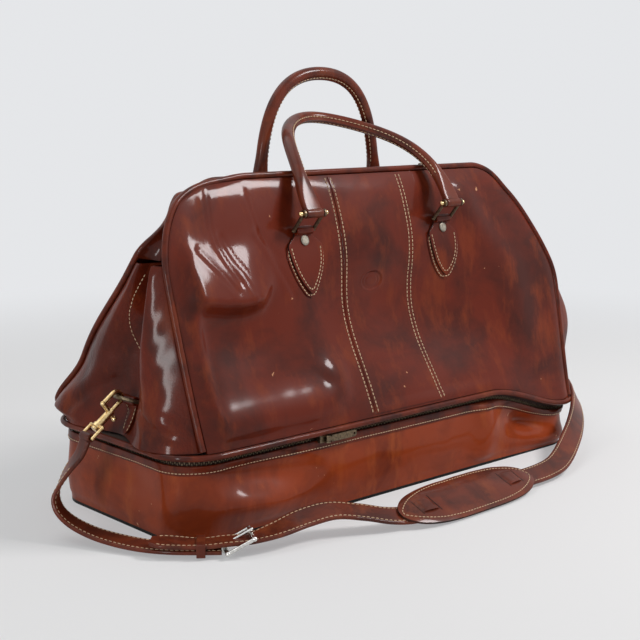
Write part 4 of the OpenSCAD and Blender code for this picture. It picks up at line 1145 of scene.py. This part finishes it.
for s, name in ((-1, "front_handle"), (1, "rear_handle")):
    k = np.linspace(-0.986, 0.986, 181)
    path, run = grip_rows(s, k)
    ahead = unit(grip_rows(s, k + 0.004)[0] - grip_rows(s, k - 0.004)[0])
    lean = lean_at(s, run)
    facing = np.stack([0 * lean, -np.cos(lean), np.sin(lean)], -1)
    wide = unit(np.cross(facing, ahead))
    high = np.cross(ahead, wide)
    e = ease((run - 6) / 44)
    a, b = GRIP_R * e + 10.4 * (1 - e), GRIP_R * e + 3.2 * (1 - e)
    turn = np.linspace(0, 2 * np.pi, 28, endpoint=False)[None, :]
    power = (2 / (2 + 3 * (1 - e)))[:, None]
    curve = lambda f: np.sign(f) * abs(f) ** power
    ring = np.stack([a[:, None] * curve(np.cos(turn)), b[:, None] * curve(np.sin(turn))], -1)
    ring[..., 0] -= 1.6 * bell((turn - np.pi) / 0.22) * e[:, None]
    points, faces = sweep(path, wide, high, ring)
    new_piece(name + "_grip", points, faces, strap_leather, name, [name])
    for x0, side in ((-ARCH[s][0, 0], "left"), (ARCH[s][0, 0], "right")):
        points, faces = loop_of_leather(PINS[s] + vec(x0, 0, 0), (1, 0, 0), 21.0, 2.4, 3.35)
        new_piece(f"{name}_{side}_loop", points, faces, strap_leather, name)
    on = run > 30
    for face in (-1, 1):
        line = path - wide * (a * 0.86)[:, None] + high * (face * b * 0.5)[:, None]
        outward = high * face * 0.8 - wide * 0.6
        sew(name + "_stitches", line[on], outward[on], pitch=4.4, length=3.2, radius=0.5, lift=0.25)
print("handles made")

# %% [markdown]
# A small tab on each gusset holds the half-round ring that the strap clips to. It is a tongue of leather folded
# over the straight side of the ring, so it is made as a sheet on the gusset and a loop round the bar. The
# keeper is a narrow loop that holds the free tip of the long strap on the short one.

# %% Ring tabs and the strap keeper
def gusset_q(y, z):
    return (y - gusset_y(0.0, z)) / (gusset_y(1.0, z) - gusset_y(0.0, z))


seat = -ring_x - 4.9
for s, end in ((-1, "left"), (1, "right")):
    i = np.linspace(0, 8, 30)[:, None]
    z = ring_z - 3.3 - 28 * i / 8
    y = ring_y + 10.9 * (1 - (i / 8.2) ** 3) ** 0.6 * np.linspace(-1, 1, 15)[None, :]
    base = gusset_x(gusset_q(y, z), z)
    out = base + 0.8 + np.maximum(0, 1 - i / 3) * np.maximum(0, seat - base)
    lay = lambda up: np.stack([s * (out + up), y, z + 0 * y], -1)
    points, faces = sheet(lay(3.0), lay(0.0), flip=s > 0)
    new_piece(f"{end}_ring_tongue", points, faces, panel_leather, "bag", [f"{end}_ring_tab"])
    points, faces = loop_of_leather(vec(s * -ring_x, ring_y, ring_z), (0, 1, 0), 22.4, 2.2, 3.25)
    new_piece(f"{end}_ring_fold", points, faces, panel_leather)
    for side in (1, 13):
        sew("body_stitches", lay(3.0)[3:-3, side], vec(s, 0, 0.1), pitch=3.6, length=2.6, radius=0.4)
corner = np.radians(np.linspace(0, 90, 6))
quarter = np.stack([12.0 + 1.6 * np.cos(corner), 4.0 + 1.6 * np.sin(corner)], -1)
hoop = np.concatenate([quarter, quarter[::-1] * (-1, 1), quarter * (-1, -1), quarter[::-1] * (1, -1)])
KEEPER_TURN = math.radians(-37)
lengthwise = vec(math.cos(KEEPER_TURN), math.sin(KEEPER_TURN), 0)
crosswise = vec(-lengthwise[1], lengthwise[0], 0)
ring = vec(-280, -129, 8.3) + hoop[:, :1] * crosswise + hoop[:, 1:] * vec(0, 0, 1)
ahead = unit(np.roll(ring, -1, 0) - np.roll(ring, 1, 0))
band = strap_profile(8.0, 1.7, 0.5)
points, faces = sweep(ring, lengthwise[None], np.cross(ahead, lengthwise), band, closed=True)
keeper = new_piece("keeper_loop", points, faces, strap_leather, "bag", ["strap_keeper"])
print("ring tongues and keeper made")

# %% [markdown]
# The shoulder pad is two lozenges of leather with a soft filling, sewn round the rim. The strap runs behind it,
# held by two loops that come through slits to the front. It swells between rim and slits, so its crown is
# computed, not boxed.

# %% Shoulder pad
pad_at, pad_dir, pad_side = vec(0, -195, 10), unit(vec(40, 1, 0)), unit(vec(0, 0.93, 0.38))
pad_up = unit(np.cross(pad_dir, pad_side))
PAD_LONG, PAD_WIDE, SLIT_AT, BRIDGE, BRIDGE_WIDE = 98, 27, 0.66, 0.11, 0.36


def pad_half(k):
    return np.maximum(2.5, PAD_WIDE * np.maximum(0, 1 - abs(k) ** 3.4) ** 0.5)


def pad_crown(k, u):
    rim = (1 - abs(u) ** 3) * (1 - abs(k) ** 6)
    waist = 1.6 * bell((abs(k) - SLIT_AT) / 0.16) * bell(u / 0.5)
    return 4.3 + 3.7 * rim - waist + 0.35 * ripple(PAD_LONG * k, PAD_WIDE * u, 61, 40)


def pad_point(k, u, e):
    k, u, e = (a[..., None] for a in np.broadcast_arrays(k, u, e))
    return pad_at + PAD_LONG * k * pad_dir + pad_half(k) * u * pad_side + e * pad_up


k = np.sin(np.linspace(-np.pi / 2, np.pi / 2, 120))[:, None]
u = np.sin(np.linspace(-np.pi / 2, np.pi / 2, 41))[None, :]
points, faces = sheet(pad_point(k, u, pad_crown(k, u)), pad_point(k, u, 2.3), flip=True)
pad = new_piece("shoulder_pad_cushion", points, faces, strap_leather, "bag", ["shoulder_pad"])
darken_rim(pad, k.size, u.size)
around = np.radians(np.linspace(0, 360, 240))
rim_k, rim_u = 0.955 * np.cos(around), np.sin(around)
rim_k, rim_u = np.sign(rim_k) * abs(rim_k) ** 0.62, np.sign(rim_u) * abs(rim_u) ** 0.62 * 0.86
line = pad_point(rim_k, rim_u, pad_crown(rim_k, rim_u))
sew("pad_stitches", line, pad_up, pitch=4.0, length=2.9, radius=0.45)
for at, side in ((-SLIT_AT, "left"), (SLIT_AT, "right")):
    i = np.linspace(-1, 1, 25)[:, None]
    u = np.linspace(-BRIDGE_WIDE, BRIDGE_WIDE, 13)[None, :]
    k = at + BRIDGE * i
    e = pad_crown(k, u) + 2.4 * (1 - i**4) - 0.9
    rounded = 1.0 - 0.5 * abs(u / BRIDGE_WIDE) ** 6
    points, faces = sheet(pad_point(k, u, e + rounded), pad_point(k, u, e - 0.8), flip=True)
    bridge = new_piece(f"pad_{side}_bridge", points, faces, strap_leather, "bag", ["pad_loops"])
    # Each slit is a thin dark strip on the crown: its dark cut edges are real, the dark of the gap between them
    # is painted shade.
    for tip, letter in ((-1, "a"), (1, "b")):
        i = np.linspace(-1, 1, 5)[:, None]
        u = np.linspace(-0.46, 0.46, 13)[None, :]
        k = at + tip * 0.117 + 0.006 * i
        e = pad_crown(k, u) + 0.18 * np.cos(i * 1.2)
        points, faces = sheet(pad_point(k, u, e), pad_point(k, u, e - 1.2), flip=True)
        slit_shade_strip = new_piece(f"pad_{side}_slit_{letter}", points, faces, cut_edge_and_slit_shade_leather, "bag")

# %% [markdown]
# All the thread gathered so far becomes mesh now, one piece for each group of seams. Thread on the strap
# has its transform baked, as the strap's has.

# %% Thread
carried = {
    "body_stitches": "bag",
    "front_handle_stitches": "front_handle",
    "rear_handle_stitches": "rear_handle",
    "pad_stitches": "bag",
}
bent = {"short_strap_stitches": bend_short, "long_strap_stitches": bend_long}
count = 0
for group in sorted(sewing):
    points, faces = stitch_mesh(group)
    count += len(points) // STITCH_POINTS
    piece = new_piece(group, points, faces, thread, carried.get(group))
    if group in bent:
        bent[group](piece)
print("stitches:", count)

# %% [markdown]
# The studio is a pale floor that runs up into a pale wall and fades to the paleness of the room away from the
# bag. One large soft light hangs above and behind. One from the right front gives the polish its hard-edged
# shine, and a narrow one at the left lights the gusset.

# %% Studio
PALE = (0.785, 0.795, 0.815, 1)


def seen_directly(tree):
    rays = add(tree, "ShaderNodeLightPath").outputs
    sharp = sums(tree, "MAXIMUM", rays["Is Camera Ray"], rays["Is Glossy Ray"])
    return sums(tree, "MAXIMUM", sharp, rays["Is Transmission Ray"])


paper, tree, shader = start_material("pale studio paper", base_color=(0.79, 0.79, 0.775, 1), roughness=0.9)
spot = add(tree, "ShaderNodeTexCoord").outputs["Object"]
far = add(tree, "ShaderNodeVectorMath", [(0, spot)], operation="LENGTH").outputs["Value"]
fade = add(
    tree,
    "ShaderNodeMapRange",
    [("Value", far), ("From Min", 0.55), ("From Max", 1.5), ("To Min", 0.4), ("To Max", 1.0)],
    interpolation_type="SMOOTHSTEP",
)
share = sums(tree, "MULTIPLY", seen_directly(tree), fade.outputs[0])
glow = add(tree, "ShaderNodeEmission", [("Color", PALE)])
mixed = add(tree, "ShaderNodeMixShader", [(0, share), (1, shader.outputs[0]), (2, glow.outputs[0])])
tree.links.new(mixed.outputs[0], tree.nodes["Material Output"].inputs["Surface"])
WALL_AT, BEND_R, HALF_WIDE = 1.6, 0.9, 5.0
bends = np.linspace(0.15, np.pi / 2, 12)
sweep_y = [-3.0, WALL_AT] + [WALL_AT + BEND_R * math.sin(a) for a in bends] + [WALL_AT + BEND_R]
sweep_z = [0.0, 0.0] + [BEND_R - BEND_R * math.cos(a) for a in bends] + [4.0]
c, n = math.cos(VIEW_TURN), math.sin(VIEW_TURN)
points = [
    (x * c - y * n, x * n + y * c, z) for y, z in zip(sweep_y, sweep_z) for x in (-HALF_WIDE, HALF_WIDE)
]
mesh = bpy.data.meshes.new("studio_floor")
mesh.from_pydata(points, [], [(2 * i, 2 * i + 1, 2 * i + 3, 2 * i + 2) for i in range(len(sweep_y) - 1)])
mesh.polygons.foreach_set("use_smooth", [True] * len(mesh.polygons))
floor = bpy.data.objects.new("studio_floor", mesh)
mesh.materials.append(paper)
scene.collection.objects.link(floor)


def soft_light(name, at, aim, size, power, tint=(1, 1, 1)):
    lamp = bpy.data.lights.new(name, "AREA")
    lamp.shape = "RECTANGLE"
    lamp.size, lamp.size_y = size
    lamp.energy = power
    lamp.color = tint
    obj = bpy.data.objects.new(name, lamp)
    scene.collection.objects.link(obj)
    obj.location = at
    obj.visible_camera = False
    obj.rotation_mode = "QUATERNION"
    obj.rotation_quaternion = (Vector(aim) - Vector(at)).to_track_quat("-Z", "Y")


soft_light("overhead", (-0.5, 0.7, 2.2), (0, 0, 0.1), (2.4, 2.0), 15)
soft_light("right_front", (0.86, -0.98, 1.45), (-0.03, -0.07, 0.2), (0.52, 0.44), 25, (1.0, 0.97, 0.98))
soft_light("left_side", (-1.82, -0.62, 0.4), (-0.2, 0, 0.2), (0.2, 0.8), 9)
world = bpy.data.worlds.new("pale room")
scene.world = world
world.use_nodes = True
tree = world.node_tree
room = tree.nodes["Background"]
room.inputs["Color"].default_value = (0.82, 0.84, 0.87, 1)
room.inputs["Strength"].default_value = 0.24
pale = add(tree, "ShaderNodeBackground", [("Color", PALE), ("Strength", 1.0)])
mixed = add(tree, "ShaderNodeMixShader", [(0, seen_directly(tree)), (1, room.outputs[0]), (2, pale.outputs[0])])
tree.links.new(mixed.outputs[0], tree.nodes["World Output"].inputs["Surface"])
print("studio lit")
